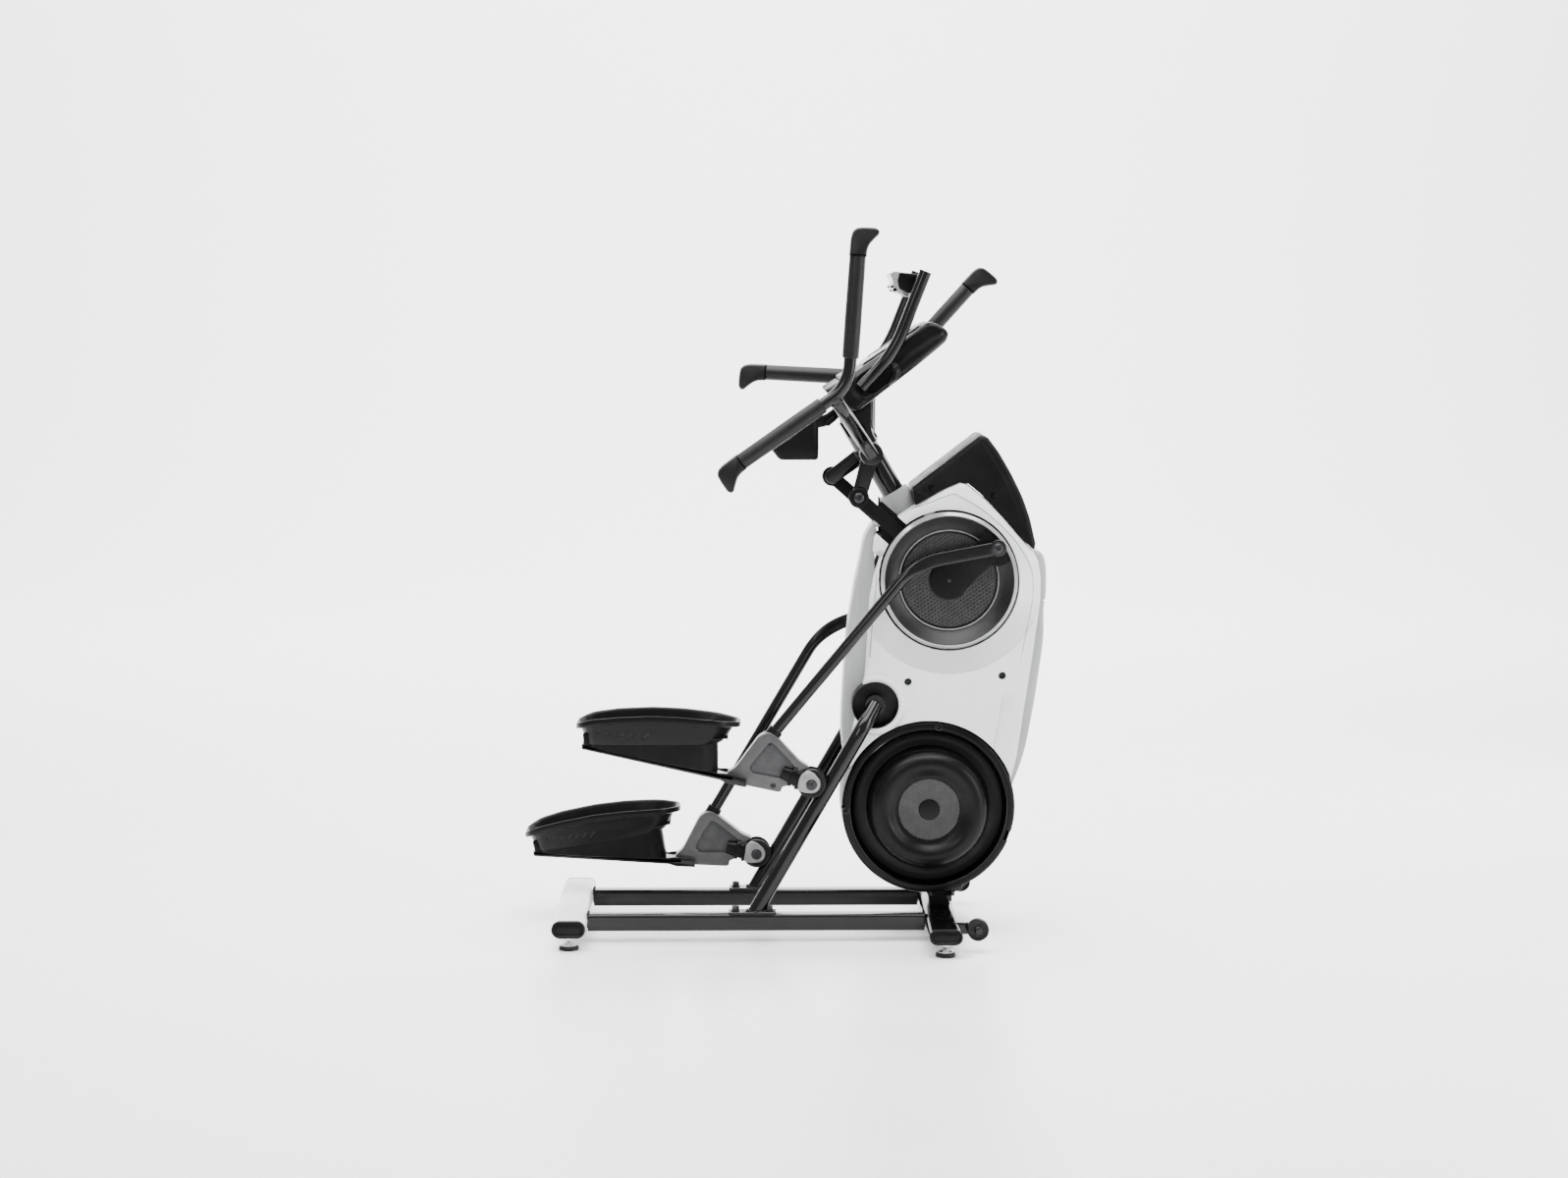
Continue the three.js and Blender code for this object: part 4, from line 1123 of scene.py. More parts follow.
def build_cranks():
    for name, side in SIDES.items():
        place = crank_place(side)
        mesh = honeycomb((0, 0), side, 42, 110.5, 8.8, 2.2, 5.0, lambda r: 103.4)
        rim = turned([(109.5, 99.8), (112.6, 99.8), (113.2, 101), (113.2, 103.4), (112.4, 104.2),
                      (109.5, 103.6), (109.5, 99.8)], (0, 0), side, 96)
        middle = disc((0, 0), 46, side, 99.8, 104.4, 1.5, 64)
        piece(f"honeycomb_disc_{name}", mesh, "bright_web", "crank", f"crank_disc_{name}",
              place=place, sharp=30)
        piece(f"disc_rim_{name}", merge(rim, middle), "black_plastic", "crank", place=place)
        build_crank_arm(name, side, place)


def build_crank_arm(name, side, place):
    """A blade that steps up from the hub to the pin, with a shield round the pin."""
    steps = [(-62, 104.4), (40, 104.4), (96, 121), (156, 126.5), (156, 135), (100, 132), (44, 114),
             (-62, 114)]
    smooth = rounded([(x, y) for x, y in steps], [2, 24, 30, 2, 2, 30, 24, 2], 5)
    tall = loft([[(x, side * y, z) for x, y in smooth] for z in (-60, 60)])
    plan = plate(bar_outline((0, 0), (THROW, 0), 43, 17, 30), side, 95, 140, 0.2)
    arm = carve(plan, tall, operation="INTERSECT")
    bmesh.ops.dissolve_limit(arm, angle_limit=math.radians(2), verts=arm.verts, edges=arm.edges)
    rims = [e for e in arm.edges if len(e.link_faces) == 2 and e.calc_face_angle(0) > math.radians(50)]
    bmesh.ops.bevel(arm, geom=rims, offset=1.4, segments=2, profile=0.6, affect="EDGES",
                    clamp_overlap=True)
    screw = disc((0, 0), 4.4, side, 108, 114.6, 0.6, 24)
    socket = disc((0, 0), 2.6, side, 109, 115.2, 0.4, 6)
    piece(f"crank_blade_{name}", arm, "charcoal_plastic", "crank", f"crank_arm_{name}", place=place)
    piece(f"crank_screw_{name}", merge(screw, socket), "black_zinc", "crank", place=place)

    clip = circle((0, 0), 144.5, 160)
    lobe = plate(circle((THROW, 0), 44, 72), side, 119.5, 125.5, 1.2)
    bound = plate(clip, side, 100, 140, 0.1)
    shield = carve(lobe, bound, operation="INTERSECT")
    pin = disc((THROW, 0), 9, side, 120, 141, 1, 40)
    piece(f"pin_shield_{name}", merge(shield, pin), "charcoal_plastic", "crank", place=place)


# ------------------------------------------------------------------ fan covers

def build_fan_covers():
    face = [(140.6, 88), (140.4, 112), (140.8, 116), (140, 119), (138.4, 121), (137.4, 124), (135.4, 131),
            (132, 138), (127, 143.8), (121, 147.8), (114, 150.3), (107.5, 151.2), (101.5, 150.3),
            (95.5, 147.6), (90, 143.8), (85, 139.8), (80.5, 136.8), (77, 135.6), (75, 135.2), (74, 135.8),
            (72.5, 135.6), (71.5, 134), (71, 131)]
    rim = [(202, 0.5), (202, 96), (201, 99.5), (198.5, 102), (195, 103.2), (186, 104.4), (184, 104),
           (182.6, 102), (181.4, 97), (179, 88), (174, 80), (165, 76), (153, 76), (144, 79)]
    back = [(70, 128), (76, 132), (84, 137), (105, 148), (122, 143), (132, 130), (137, 112),
            (137.4, 84), (143, 76), (152, 73), (166, 73), (177, 78), (183, 92), (186, 100.5),
            (198.5, 98.5), (199, 0.5), (202, 0.5)]
    for name, side in SIDES.items():
        cover = turned(rim + face + back, FAN, side, 144)
        y0, y1 = sorted((0, side * 61.8))
        hidden = prism([(100, y0), (600, y0), (600, y1), (100, y1)], 385, 520)
        notch = prism([(333, y0), (411, y0), (411, y1), (333, y1)], 60, 121)
        slots = []
        for angle, half, near in ((180, 5, 194), (-20, 12, 190)):
            at = polar(angle, 200, FAN)
            across, along = polar(angle + 90, 1), polar(angle, 1)
            corners = [(at[0] + across[0] * a + along[0] * b, at[1] + across[1] * a + along[1] * b)
                       for a, b in ((-half, near - 200), (half, near - 200), (half, 12), (-half, 12))]
            slots.append(plate(corners, side, 84, 120, 0.1))
        slots.append(plate(bar_outline(polar(83, 189, FAN), polar(83, 192, FAN), 5.5, 5.5, 12), side,
                           98, 120, 0.1))
        cover = carve(cover, hidden, notch, *slots)
        piece(f"fan_housing_{name}", cover, "black_plastic", "frame", f"fan_cover_{name}", sharp=34)

        def dish(radius):
            return 130.6 + 1.6 * (radius / 74) ** 2

        grille = honeycomb(FAN, side, 21, 76, 5.6, 1.5, 3.2, dish)
        cap = turned([(0, 128), (23.5, 128), (24.5, 132.4), (23, 134.2), (18, 135.2), (9, 135.8), (0, 136)],
                     FAN, side, 64)
        piece(f"fan_grille_{name}", grille, "bright_web", "frame", sharp=40)
        piece(f"fan_cap_{name}", cap, "black_plastic", "frame")
        bosses = []
        for angle, reach in ((83, 190.5), (182, 193)):
            at = polar(angle, reach, FAN)
            bosses.append(button_head(at, 4.6, side, 96.5, 3.4))
            collar = [(6, 100), (8.6, 103), (8.2, 105), (6.6, 105.4), (5.6, 104), (5.4, 100), (6, 100)]
            bosses.append(turned(collar, at, side, 30))
        lug_at = [polar(a, r, FAN) for a, r in ((-76, 199), (-66, 199), (-67.5, 211), (-74.5, 211))]
        bosses.append(plate(rounded(lug_at, 5), side, 70, 98, 2))
        piece(f"fan_lugs_{name}", merge(*bosses), "black_zinc", "frame")
        lip = turned([(180.6, 99), (181.4, 103.6), (182.8, 105.2), (184.2, 104.6), (183.4, 101),
                      (180.6, 99)], FAN, side, 144)
        piece(f"fan_lip_{name}", lip, "black_paint", "frame")


def build_drive():
    """The parts inside the shroud keep the design's own shapes."""
    for name, look in (("drive_pulley", "black_plastic"), ("drive_belt", "rubber"),
                       ("fan_wheel", "cast_aluminium"), ("crankshaft", "bright_steel")):
        repaint(name, look)


# ------------------------------------------------------------------ legs, rollers, pedals

def leg_place(name, side):
    """The leg's own frame has its origin on the roller's axle."""
    x, z = ROLLER[name]
    turn = LEG_TURN if side > 0 else 0.0
    return Matrix.Translation((x, 0, z)) @ Matrix.Rotation(-turn, 4, "Y")


CRANK_PIN = polar(PHASE, THROW, CRANK)     # the right one
LEG_PIN = (CRANK_PIN[0] - ROLLER["right"][0], CRANK_PIN[1] - ROLLER["right"][1])
LEG_BEND = (239.0, 507.0)
LEG_FOOT = (-94.0, 106.0)
LEG_PLANE = 147.0


def leg_shank(side):
    """A round tube that bends at the top and is pressed flat towards the crank pin."""
    y = side * LEG_PLANE
    stations = route_of([flat(LEG_FOOT, y), flat(LEG_BEND, y), flat(LEG_PIN, y)], 62, 16)
    last = stations.pop()
    stations += [stations[-1].lerp(last, t) for t in (0.06, 0.12, 0.2, 0.3, 0.5, 0.8, 1.0)]
    sizes, powers = [], []
    bend_from = Vector(flat(LEG_BEND, y))
    for at in stations:
        past = (at - bend_from).dot((last - bend_from).normalized())
        t = min(max((past + 34) / 70, 0), 1)
        t = t * t * (3 - 2 * t)
        sizes.append((13.5 + 2.0 * t, 13.5 - 6.8 * t))
        powers.append(2 + 3.5 * t)
    return sweep(stations, sizes, 36, power=powers)


FORK_LINE = [(-31, -15), (-32, 3), (-26, 21), (-9, 34), (6, 27), (20, 10), (21.5, -4), (15, -16),
             (3, -21.5), (-14, -20)]


def fork_cheeks(side):
    outline = rounded(FORK_LINE, [6, 14, 14, 8, 10, 10, 10, 10, 10, 8], 5)
    return [plate(outline, side, low, high, edge, 4)
            for low, high, edge in ((110, 119.2, 4), (168.8, 184, 7))]


def knuckle(side):
    """The stepped neck between the bracket and the roller's fork."""
    neck_axis = Vector((-0.92, 0, 0.39)).normalized()
    start = Vector((-14, side * TRACK, 4))
    steps = [(0, 22), (9, 22), (10, 26), (16, 27), (18, 26), (19, 22), (27, 21), (28, 25), (34, 26),
             (36, 24), (37, 19), (58, 16)]
    stations = [start + neck_axis * along for along, _ in steps]
    neck = sweep(stations, [(radius, 34 if radius > 22.5 else 31) for _, radius in steps], 44, power=3.2)
    guard = turned([(0, 119.5), (37.5, 119.5), (37.5, 168.5), (0, 168.5)], (0, 0), side, 48)
    return carve(neck, guard)


def bracket_window(gap):
    """The recess in each face of the bracket."""
    window = rounded([(-97, 95), (-86, 92), (-36, 38), (-50, 10), (-136, 26), (-143, 39)],
                     [8, 8, 10, 8, 7, 8], 6)
    return inset(window, -gap)


def bracket_shape(side):
    outline = rounded([(-99, 121), (-82, 112), (-27, 52), (-4, 37), (-18, 4), (-54, -5), (-67, -8),
                       (-70, -18), (-76, -20), (-189, 4), (-198, 12), (-193, 27), (-174, 38),
                       (-121, 110)],
                      [12, 10, 8, 6, 12, 8, 3, 3, 3, 6, 6, 8, 10, 10], 6)
    body = plate(outline, side, 125, 166, 3.0, 4)
    guard = turned([(0, 100), (37.5, 100), (37.5, 190), (0, 190)], (0, 0), side, 64)
    pockets = [plate(bracket_window(1.0), side, low, high, 0.2) for low, high in ((160, 175), (116, 131))]
    return carve(body, guard, *pockets)


def build_leg(name, side, place):
    boss = disc(LEG_PIN, 19.5, side, LEG_PLANE - 8.5, LEG_PLANE + 7.5, 2)
    piece(f"leg_tube_{name}", merge(leg_shank(side), boss), "black_paint", f"stepper_{name}",
          f"leg_{name}", place=place, sharp=40)
    washer = disc(LEG_PIN, 14.5, side, LEG_PLANE + 7, LEG_PLANE + 9, 0.6)
    cap = button_head(LEG_PIN, 11, side, LEG_PLANE + 8.5, 4)
    piece(f"pin_bolt_{name}", merge(washer, cap), "black_zinc", f"stepper_{name}", place=place)

    # The recess floors are darker than the bracket: painted shade.
    floors = [plate(bracket_window(-0.6), side, low, high, 0.2)
              for low, high in ((159, 160.8), (130.2, 132))]
    piece(f"bracket_recess_{name}", merge(*floors), "cast_grey_recess_shade", f"stepper_{name}", place=place)
    piece(f"bracket_{name}", bracket_shape(side), "cast_grey", f"stepper_{name}", place=place, sharp=40)
    socket = sweep([Vector((-104, side * LEG_PLANE, 94)), Vector((-80, side * LEG_PLANE, 123))],
                   17.5, 32, dome=1.5)
    piece(f"knuckle_{name}", merge(knuckle(side), socket), "black_plastic", f"stepper_{name}",
          place=place, sharp=40)
    piece(f"fork_caps_{name}", merge(*fork_cheeks(side)), "pale_cast_and_painted_highlight", f"stepper_{name}", place=place,
          sharp=44)
    bolts = []
    for at in ((-183, 17), (-88, -5)):
        bolts.append(button_head(at, 6.5, side, 165.6, 3.4))
        bolts.append(button_head(at, -6.5, -side, -125.4, 3.4))
    piece(f"bracket_bolts_{name}", merge(*bolts), "black_zinc", f"stepper_{name}", place=place)

    outline = [(-528, 95), (-528, 87), (-205, 14), (-180, 10), (-180, 20), (-205, 24)]
    tread = plate(rounded(outline, 2, 3), side, TRACK - 40, TRACK + 40, 1.5)
    flanges = []
    for low, high in ((TRACK - 40, TRACK - 36.5), (TRACK + 36.5, TRACK + 40)):
        skirt = rounded([(-528, 96), (-528, 84), (-211, 12), (-196, 4), (-150, -6), (-150, 14), (-196, 27),
                         (-211, 27)], 3)
        flanges.append(plate(skirt, side, low, high, 0.8))
    piece(f"step_beam_{name}", merge(tread, *flanges), "black_paint", f"stepper_{name}", place=place)


def build_roller(name, side, place):
    half = 24
    profile = [(8.4, -half), (12, -half), (13, -half + 2), (26, -half + 2), (27, -half), (32.5, -half),
               (34, -half + 1.5), (34, -half + 4), (33, -half + 5.6), (24, -18.2), (22.5, -17)]
    profile += [(22.5 - 0.6 * (k % 2), -15 + 3 * k) for k in range(11)]
    profile += [(r, -y) for r, y in reversed(profile[:11])] + [(8.4, -half)]
    wheel = turned([(r, TRACK + y) for r, y in profile], (0, 0), side, 72)
    piece(f"roller_wheel_{name}", wheel, "rubber", f"wheel_{name}", f"roller_{name}", place=place)
    heads = [disc((0, 0), 8, side, 106, 186, 0.6)]
    for way, face in ((side, 184), (-side, -110)):
        heads.append(disc((0, 0), 12.8, way, face - 1.5, face + 1.6, 0.6))
        heads.append(button_head((0, 0), 8.6, way, face + 1.2, 3))
    piece(f"axle_bolt_{name}", merge(*heads), "black_zinc", f"carriage_{name}", f"roller_axle_{name}",
          place=place)


TRAY_RIM = [(-541, 141), (-537, 146), (-504, 157), (-448, 163), (-368, 166), (-300, 163), (-225, 155),
            (-163, 146)]
TRAY_LINE = [(-541, -36), (-524, -66), (-470, -80), (-400, -82), (-262, -82), (-205, -73), (-163, -34),
             (-163, 34), (-205, 73), (-262, 82), (-400, 82), (-470, 80), (-524, 66), (-541, 36)]


def rim_at(x):
    return float(np.interp(x, [p[0] for p in TRAY_RIM], [p[1] for p in TRAY_RIM]))


def tray_ring(heel, toe, flank):
    """The pedal's plan, (x, across), drawn in at its heel, toe and flanks."""
    outline = dense(rounded(TRAY_LINE, 18, 6), 12)
    stretch = (378 - heel - toe) / 378
    squeeze = (82 - flank) / 82
    return [(-541 + heel + (x + 541) * stretch, across * squeeze) for x, across in outline]


def tray_shape(side):
    """A shoe tray: tapered walls, a lip that stands out at both ends, a sunk floor."""
    levels = [(22, 46, 17, 0.0, 97), (20, 42, 15, 0.05, 97), (19, 26, 10, 0.45, 97),
              (18, 18, 6.5, 0.70, 97), (17, 16, 5.4, 0.745, 97), (2.5, 2.5, 2, 0.75, 97),
              (0.4, 0.4, 0.4, 0.77, 97),
              (0, 0, 0, 0.80, 97), (0, 0, 0, 0.96, 97), (0.8, 0.8, 0.8, 0.99, 97), (2.4, 2.4, 2.2, 1.0, 97),
              (6, 6, 5, 0.99, 97), (8, 9, 7, 0.95, 97), (9.5, 11, 8.5, 0.88, 104),
              (16, 24, 12, 0.45, 104), (23, 42, 18, 0.05, 104), (28, 50, 24, 0.0, 104)]
    crest = [rim_at(x) for x, _ in tray_ring(0, 0, 0)]
    rings = []
    for heel, toe, flank, share, low in levels:
        rings.append([(x, side * (TRACK + across), low + (top - low) * share)
                      for (x, across), top in zip(tray_ring(heel, toe, flank), crest)])
    return loft(rings)


def base_shape(side):
    """The body under the tray, cut off by the step beam's slope."""
    def slope(x):
        return 93.0 + (x + 524) * (24.5 - 93.0) / 319

    rings = []
    for heel, toe, flank, share in ((24, 52, 20, 1.0), (24, 52, 20, 0.04), (26, 54, 22, 0.0)):
        rings.append([(x, side * (TRACK + across), slope(x) + (99.5 - slope(x)) * share)
                      for x, across in tray_ring(heel, toe, flank)])
    return loft(rings)


def build_pedal(name, side, place):
    vents = []
    for k in range(7):
        x, tall = -489 + 18.5 * k, 4.5 + 1.7 * k
        slit = [(x - tall * 0.55 - 3, 126 - tall), (x - tall * 0.55 + 3.4, 126 - tall),
                (x + tall * 0.4 + 3, 126), (x + tall * 0.4 - 3, 126)]
        line = rounded(slit, 2, 3)
        vents.append(plate(line, side, TRACK + 62, TRACK + 90, 0.1))
        vents.append(plate(line, side, TRACK - 90, TRACK - 62, 0.1))
    # Painted shade: a dark sheet inside the tray behind the vent slits, where the pedal has only shade.
    shade_sheet_levels = [(21.6, 43.6, 16.6, 0.06), (20.6, 27.6, 11.6, 0.45), (19.6, 19.6, 8.1, 0.69),
             (20.2, 20.2, 8.7, 0.69), (21.2, 28.2, 12.2, 0.45), (22.2, 44.2, 17.2, 0.06)]
    crest = [rim_at(x) for x, _ in tray_ring(0, 0, 0)]
    rings = [[(x, side * (TRACK + across), 97 + (top - 97) * share)
              for (x, across), top in zip(tray_ring(heel, toe, flank), crest)]
             for heel, toe, flank, share in shade_sheet_levels]
    shade_sheet = loft(rings + rings[:1], caps=(False, False))
    piece(f"pedal_vent_shade_sheet_{name}", shade_sheet, "rubber", f"stepper_{name}", place=place)
    piece(f"pedal_tray_{name}", carve(tray_shape(side), *vents), "black_plastic", f"stepper_{name}",
          f"pedal_{name}", place=place, sharp=42)
    heel_step = rounded([(-525, 120), (-508, 120), (-508, 95), (-523, 95)], 1.5)
    lower = merge(base_shape(side), plate(heel_step, side, TRACK - 46, TRACK + 46, 2))
    piece(f"pedal_base_{name}", lower, "charcoal_plastic", f"stepper_{name}", place=place, sharp=40)

    outline = tray_ring(27, 48, 22)
    mat = loft([[(x, side * (TRACK + a), z) for x, a in inset(outline, gap)]
                for gap, z in ((0, 103.5), (0, 107), (1.2, 108))])
    ribs = []
    for k in range(19):
        across = -54 + 6 * k
        reach = 318 if abs(across) < 44 else 290
        line = bar_outline((-352 - reach / 2, across), (-352 + reach / 2, across), 1.5, 1.5, 5)
        ribs.append(loft([[(x, side * (TRACK + a), z) for x, a in inset(line, gap)]
                          for gap, z in ((0, 107.5), (0, 109.6), (0.7, 110.2))]))
    piece(f"tread_mat_{name}", merge(mat, *ribs), "rubber", f"stepper_{name}", place=place)


def build_legs():
    for name, side in SIDES.items():
        place = leg_place(name, side)
        build_leg(name, side, place)
        build_roller(name, side, place)
        build_pedal(name, side, place)


# ------------------------------------------------------------------ handlebars and links

GRIP = {"bend_angle": 91.5, "bend_radius": 171.0, "low": 196.0, "high": 67.0, "y": 275.0}
HANDLE_ARM = {"length": 105.5, "angle": 235.4}
GRIP_BEND = polar(GRIP["bend_angle"], GRIP["bend_radius"])
JOINT_AT = polar(HANDLE_ARM["angle"], HANDLE_ARM["length"])


def handle_place(side):
    return (Matrix.Translation((PIVOT[0], 0, PIVOT[1]))
            @ Matrix.Rotation(side * math.radians(HANDLE_SWING) / 2, 4, "Y"))


GRIP_TOE = [(0, -20), (40, -19), (55, -16), (64, -7), (66.5, 10), (66.5, 37), (61, 45), (53, 45),
            (42, 35), (30, 25.5), (18, 21), (0, 20)]


def grip_end(angle, way, y):
    """A boot-shaped end whose toe points to one side of the grip."""
    along, across = Vector(polar(angle, 1)), Vector(polar(angle + 90 * way, 1))
    root = Vector(polar(angle, 291, GRIP_BEND))
    line = [tuple(root + along * u + across * v) for u, v in GRIP_TOE]
    outline = rounded(line, [2, 12, 12, 10, 10, 9, 8, 10, 16, 16, 10, 2], 5)
    rings = []
    for turn in np.radians(np.linspace(-86, 86, 19)):
        ring = inset(outline, 0.1 + 6.0 * (1 - math.cos(turn) ** 0.6))
        rings.append([(x, y + 20 * math.sin(turn), z) for x, z in ring])
    return loft(rings)


def build_handlebars():
    for name, side in SIDES.items():
        place = handle_place(side)
        body = f"arm_{name}"
        y = side * GRIP["y"]
        low, high = GRIP["low"], GRIP["high"]

        def on_low(reach):
            return polar(low, reach, GRIP_BEND)

        def on_high(reach):
            return polar(high, reach, GRIP_BEND)

        main = pipe([flat(on_low(300), y), flat(GRIP_BEND, y), flat(on_high(300), y)], 14.5, 52, 16, 36)
        attach = on_low(40)

        def part_way(share, out):
            return (attach[0] * share, side * out, attach[1] * share)

        lower = pipe([part_way(-0.02, 112), part_way(0.22, 128), part_way(0.8, 258), part_way(1, 275)],
                     16, 26, 12, 36)
        bead_axis = (Vector(part_way(1, 275)) - Vector(part_way(0.8, 258))).normalized()
        joint = Vector(part_way(1, 275)) - bead_axis * 14
        bead_side = bead_axis.cross(Vector((0, 1, 0))).normalized()
        bead_up = bead_axis.cross(bead_side)
        bead = weld_bead([joint + (bead_side * math.cos(a) + bead_up * math.sin(a)) * 15.6
                          for a in np.linspace(0, 2 * math.pi, 44)], 2.2)
        hub = turned([(10.6, 60), (25, 60), (27, 62), (27, 92), (27, 111), (25.5, 113.2), (22, 114),
                      (0, 114.5), (0, 104.5), (10.6, 104.5), (10.6, 60)], (0, 0), side, 64)
        arm = plate(bar_outline((0, 0), JOINT_AT, 20, 17, 24), side, 74, 86, 2)
        bore = turned([(0, 50), (10.6, 50), (10.6, 103.9), (0, 103.9)], (0, 0), side, 40)
        arm = carve(arm, bore)
        piece(f"handle_tube_{name}", merge(main, lower, bead, hub, arm), "black_paint", body,
              f"handlebar_{name}", place=place, sharp=40)
        bolts = [disc(JOINT_AT, 8, side, 80, 99, 0.5), button_head(JOINT_AT, 12, side, 97.2, 4.5),
                 button_head((0, 0), 9, side, 113.6, 4)]
        piece(f"handle_bolts_{name}", merge(*bolts), "black_zinc", body, place=place)

        for grip_name, line in (("lower", on_low), ("upper", on_high)):
            start = 70 if grip_name == "lower" else 64
            reaches = [start, start + 1.5, start + 5, 150, 220, 292, 297]
            radii = [16.4, 18.2, 18.6, 18.9, 18.6, 18.4, 17.6]
            foam = sweep([Vector(flat(line(r), y)) for r in reaches], [(r, r) for r in radii], 40)
            piece(f"{grip_name}_grip_{name}", foam, "foam", body, place=place)
        piece(f"lower_grip_end_{name}", grip_end(low, 1, y), "rubber", body, place=place, sharp=60)
        piece(f"upper_grip_end_{name}", grip_end(high, -1, y), "rubber", body, place=place, sharp=60)
        build_link(name, side)


def build_link(name, side):
    at = polar(HANDLE_ARM["angle"] - side * HANDLE_SWING / 2, HANDLE_ARM["length"], PIVOT)
    lobe = (CRANK[0] - side * 28.25, CRANK[1] + side * 19.5)
    bar = plate(bar_outline(at, lobe, 16, 16, 10), side, 88.5, 96.5, 1.6)
    hole = plate(circle(lobe, 58, 60), side, 80, 100, 0.1)
    eye_hole = plate(circle(at, 9, 30), side, 80, 100, 0.1)
    bar = carve(bar, hole, eye_hole)
    strap = turned([(54, 88.5), (61, 88.5), (62, 89.5), (62, 95.5), (61, 96.5), (54, 96.5), (54, 88.5)],
                   lobe, side, 90)
    eye = turned([(8.6, 88), (21, 88), (23.5, 90), (23.5, 95), (21, 97), (14.5, 97), (13.5, 96), (8.6, 96),
                  (8.6, 88)], at, side, 56)
    piece(f"link_bar_{name}", merge(bar, strap, eye), "charcoal_plastic", f"link_{name}",
          f"handle_link_{name}", sharp=40)


# ------------------------------------------------------------------ console

FACE = {"keys": ((92.0, 1277.0), 30.5), "display": ((165.0, 1320.0), 34.15)}


def on_face(stretch, along, out):
    corner, tilt = FACE[stretch]
    return polar(tilt + 90, out, polar(tilt, along, corner))


def build_console():
    outline = [FACE["keys"][0], FACE["display"][0], (336, 1436), (369, 1418), (378, 1407), (372, 1388),
               (299, 1327), (206, 1256), (168, 1228), (140, 1236)]
    body = rounded(outline, [8, 20, 16, 10, 8, 8, 40, 30, 10, 14], 5)
    ledge = spline([(250, 1333), (300, 1366), (340, 1392), (364, 1404)])
    mouth = rounded([(166, 1285), (180, 1270), (206, 1268), (236, 1292), (252, 1318), (236, 1334),
                     (204, 1328), (174, 1306)], [8, 10, 14, 20, 14, 10, 20, 14], 6)

    def height(points):
        depth = distance_to(body, points)
        result = 138.0 - edge_drop(depth, 12.0)
        below = inside(ledge + [(400, 1380), (380, 1300), (240, 1200), (240, 1320)], points)
        near = distance_to(ledge, points, closed=False)
        shelf = np.where(below, smooth_step(near, -9, 9), smooth_step(-near, -9, 9))
        result += 6.0 * shelf * smooth_step(depth, 0, 12)
        lip = np.clip(1 - np.abs(distance_to(mouth, points) - 6) / 14, 0, 1)
        return result + 8.0 * lip * lip * (3 - 2 * lip) * smooth_step(depth, 0, 14)

    seams = [line + line[:1] for line in (inset(mouth, -1), inset(mouth, -5))]
    half = panel(body, [], seams, height, 1, 0, step=5, rounding=(0.6, 1.8, 3.6, 6, 9, 11.8), wall=0)
    pockets = [plate(mouth, side, 120, 170, 0.2) for side in SIDES.values()]
    piece("console_shell", carve(mirrored(half), *pockets), "black_plastic", "frame",
          "console_housing", sharp=30)

    corner, tilt = FACE["display"]
    face_turn = (Matrix.Translation((corner[0], 0, corner[1]))
                 @ Matrix.Rotation(-math.radians(tilt), 4, "Y"))
    bezel = rounded([(22, -100), (184, -100), (184, 100), (22, 100)], 14)
    hollow = rounded([(46, -74), (160, -74), (160, 74), (46, 74)], 8)
    rings = [(bezel, -2), (bezel, 3.2), (inset(bezel, 2), 5.2), (inset(hollow, -3), 6.2),
             (inset(hollow, -1), 5.6), (hollow, 3.4)]
    directions = [polar(a, 1) for a in range(0, 360, 4)]
    lens = loft([[ray_hit(line, (103, 0), direction, z) for direction in directions]
                 for line, z in rings])
    piece("display_bezel", lens, "dark_lens", "frame", "display_lens", place=face_turn)
    screen = rounded([(50, -70), (156, -70), (156, 70), (50, 70)], 5)
    piece("display_screen", prism(screen, 2.6, 4.2), "lcd_glass", "frame", place=face_turn)
    bars = []
    for k in range(11):
        tall = 10 + 26 * abs(math.sin(0.9 + 0.62 * k))
        y = -55 + 11 * k
        bar = [(60, y - 3.6), (60 + tall, y - 3.6), (60 + tall, y + 3.6), (60, y + 3.6)]
        bars.append(prism(bar, 4.1, 4.5))
    for k in range(4):
        y = -51 + 34 * k
        box_line = rounded([(118, y - 12), (146, y - 12), (146, y + 12), (118, y + 12)], 3)
        bars.append(prism(box_line, 4.1, 4.4))
    piece("display_marks", merge(*bars), "dark_lens", "frame", place=face_turn)
    build_keys()
    build_bottle_holder()


def ray_hit(line, centre, direction, z):
    """Where a ray from the centre leaves a closed outline."""
    best = None
    for a, b in zip(line, line[1:] + line[:1]):
        run = (b[0] - a[0], b[1] - a[1])
        cross = direction[0] * run[1] - direction[1] * run[0]
        if abs(cross) < 1e-9:
            continue
        gap = (a[0] - centre[0], a[1] - centre[1])
        t = (gap[0] * run[1] - gap[1] * run[0]) / cross
        u = (gap[0] * direction[1] - gap[1] * direction[0]) / cross
        if t > 0 and -1e-6 <= u <= 1 + 1e-6:
            best = t if best is None else max(best, t)
    return (centre[0] + direction[0] * best, centre[1] + direction[1] * best, z)


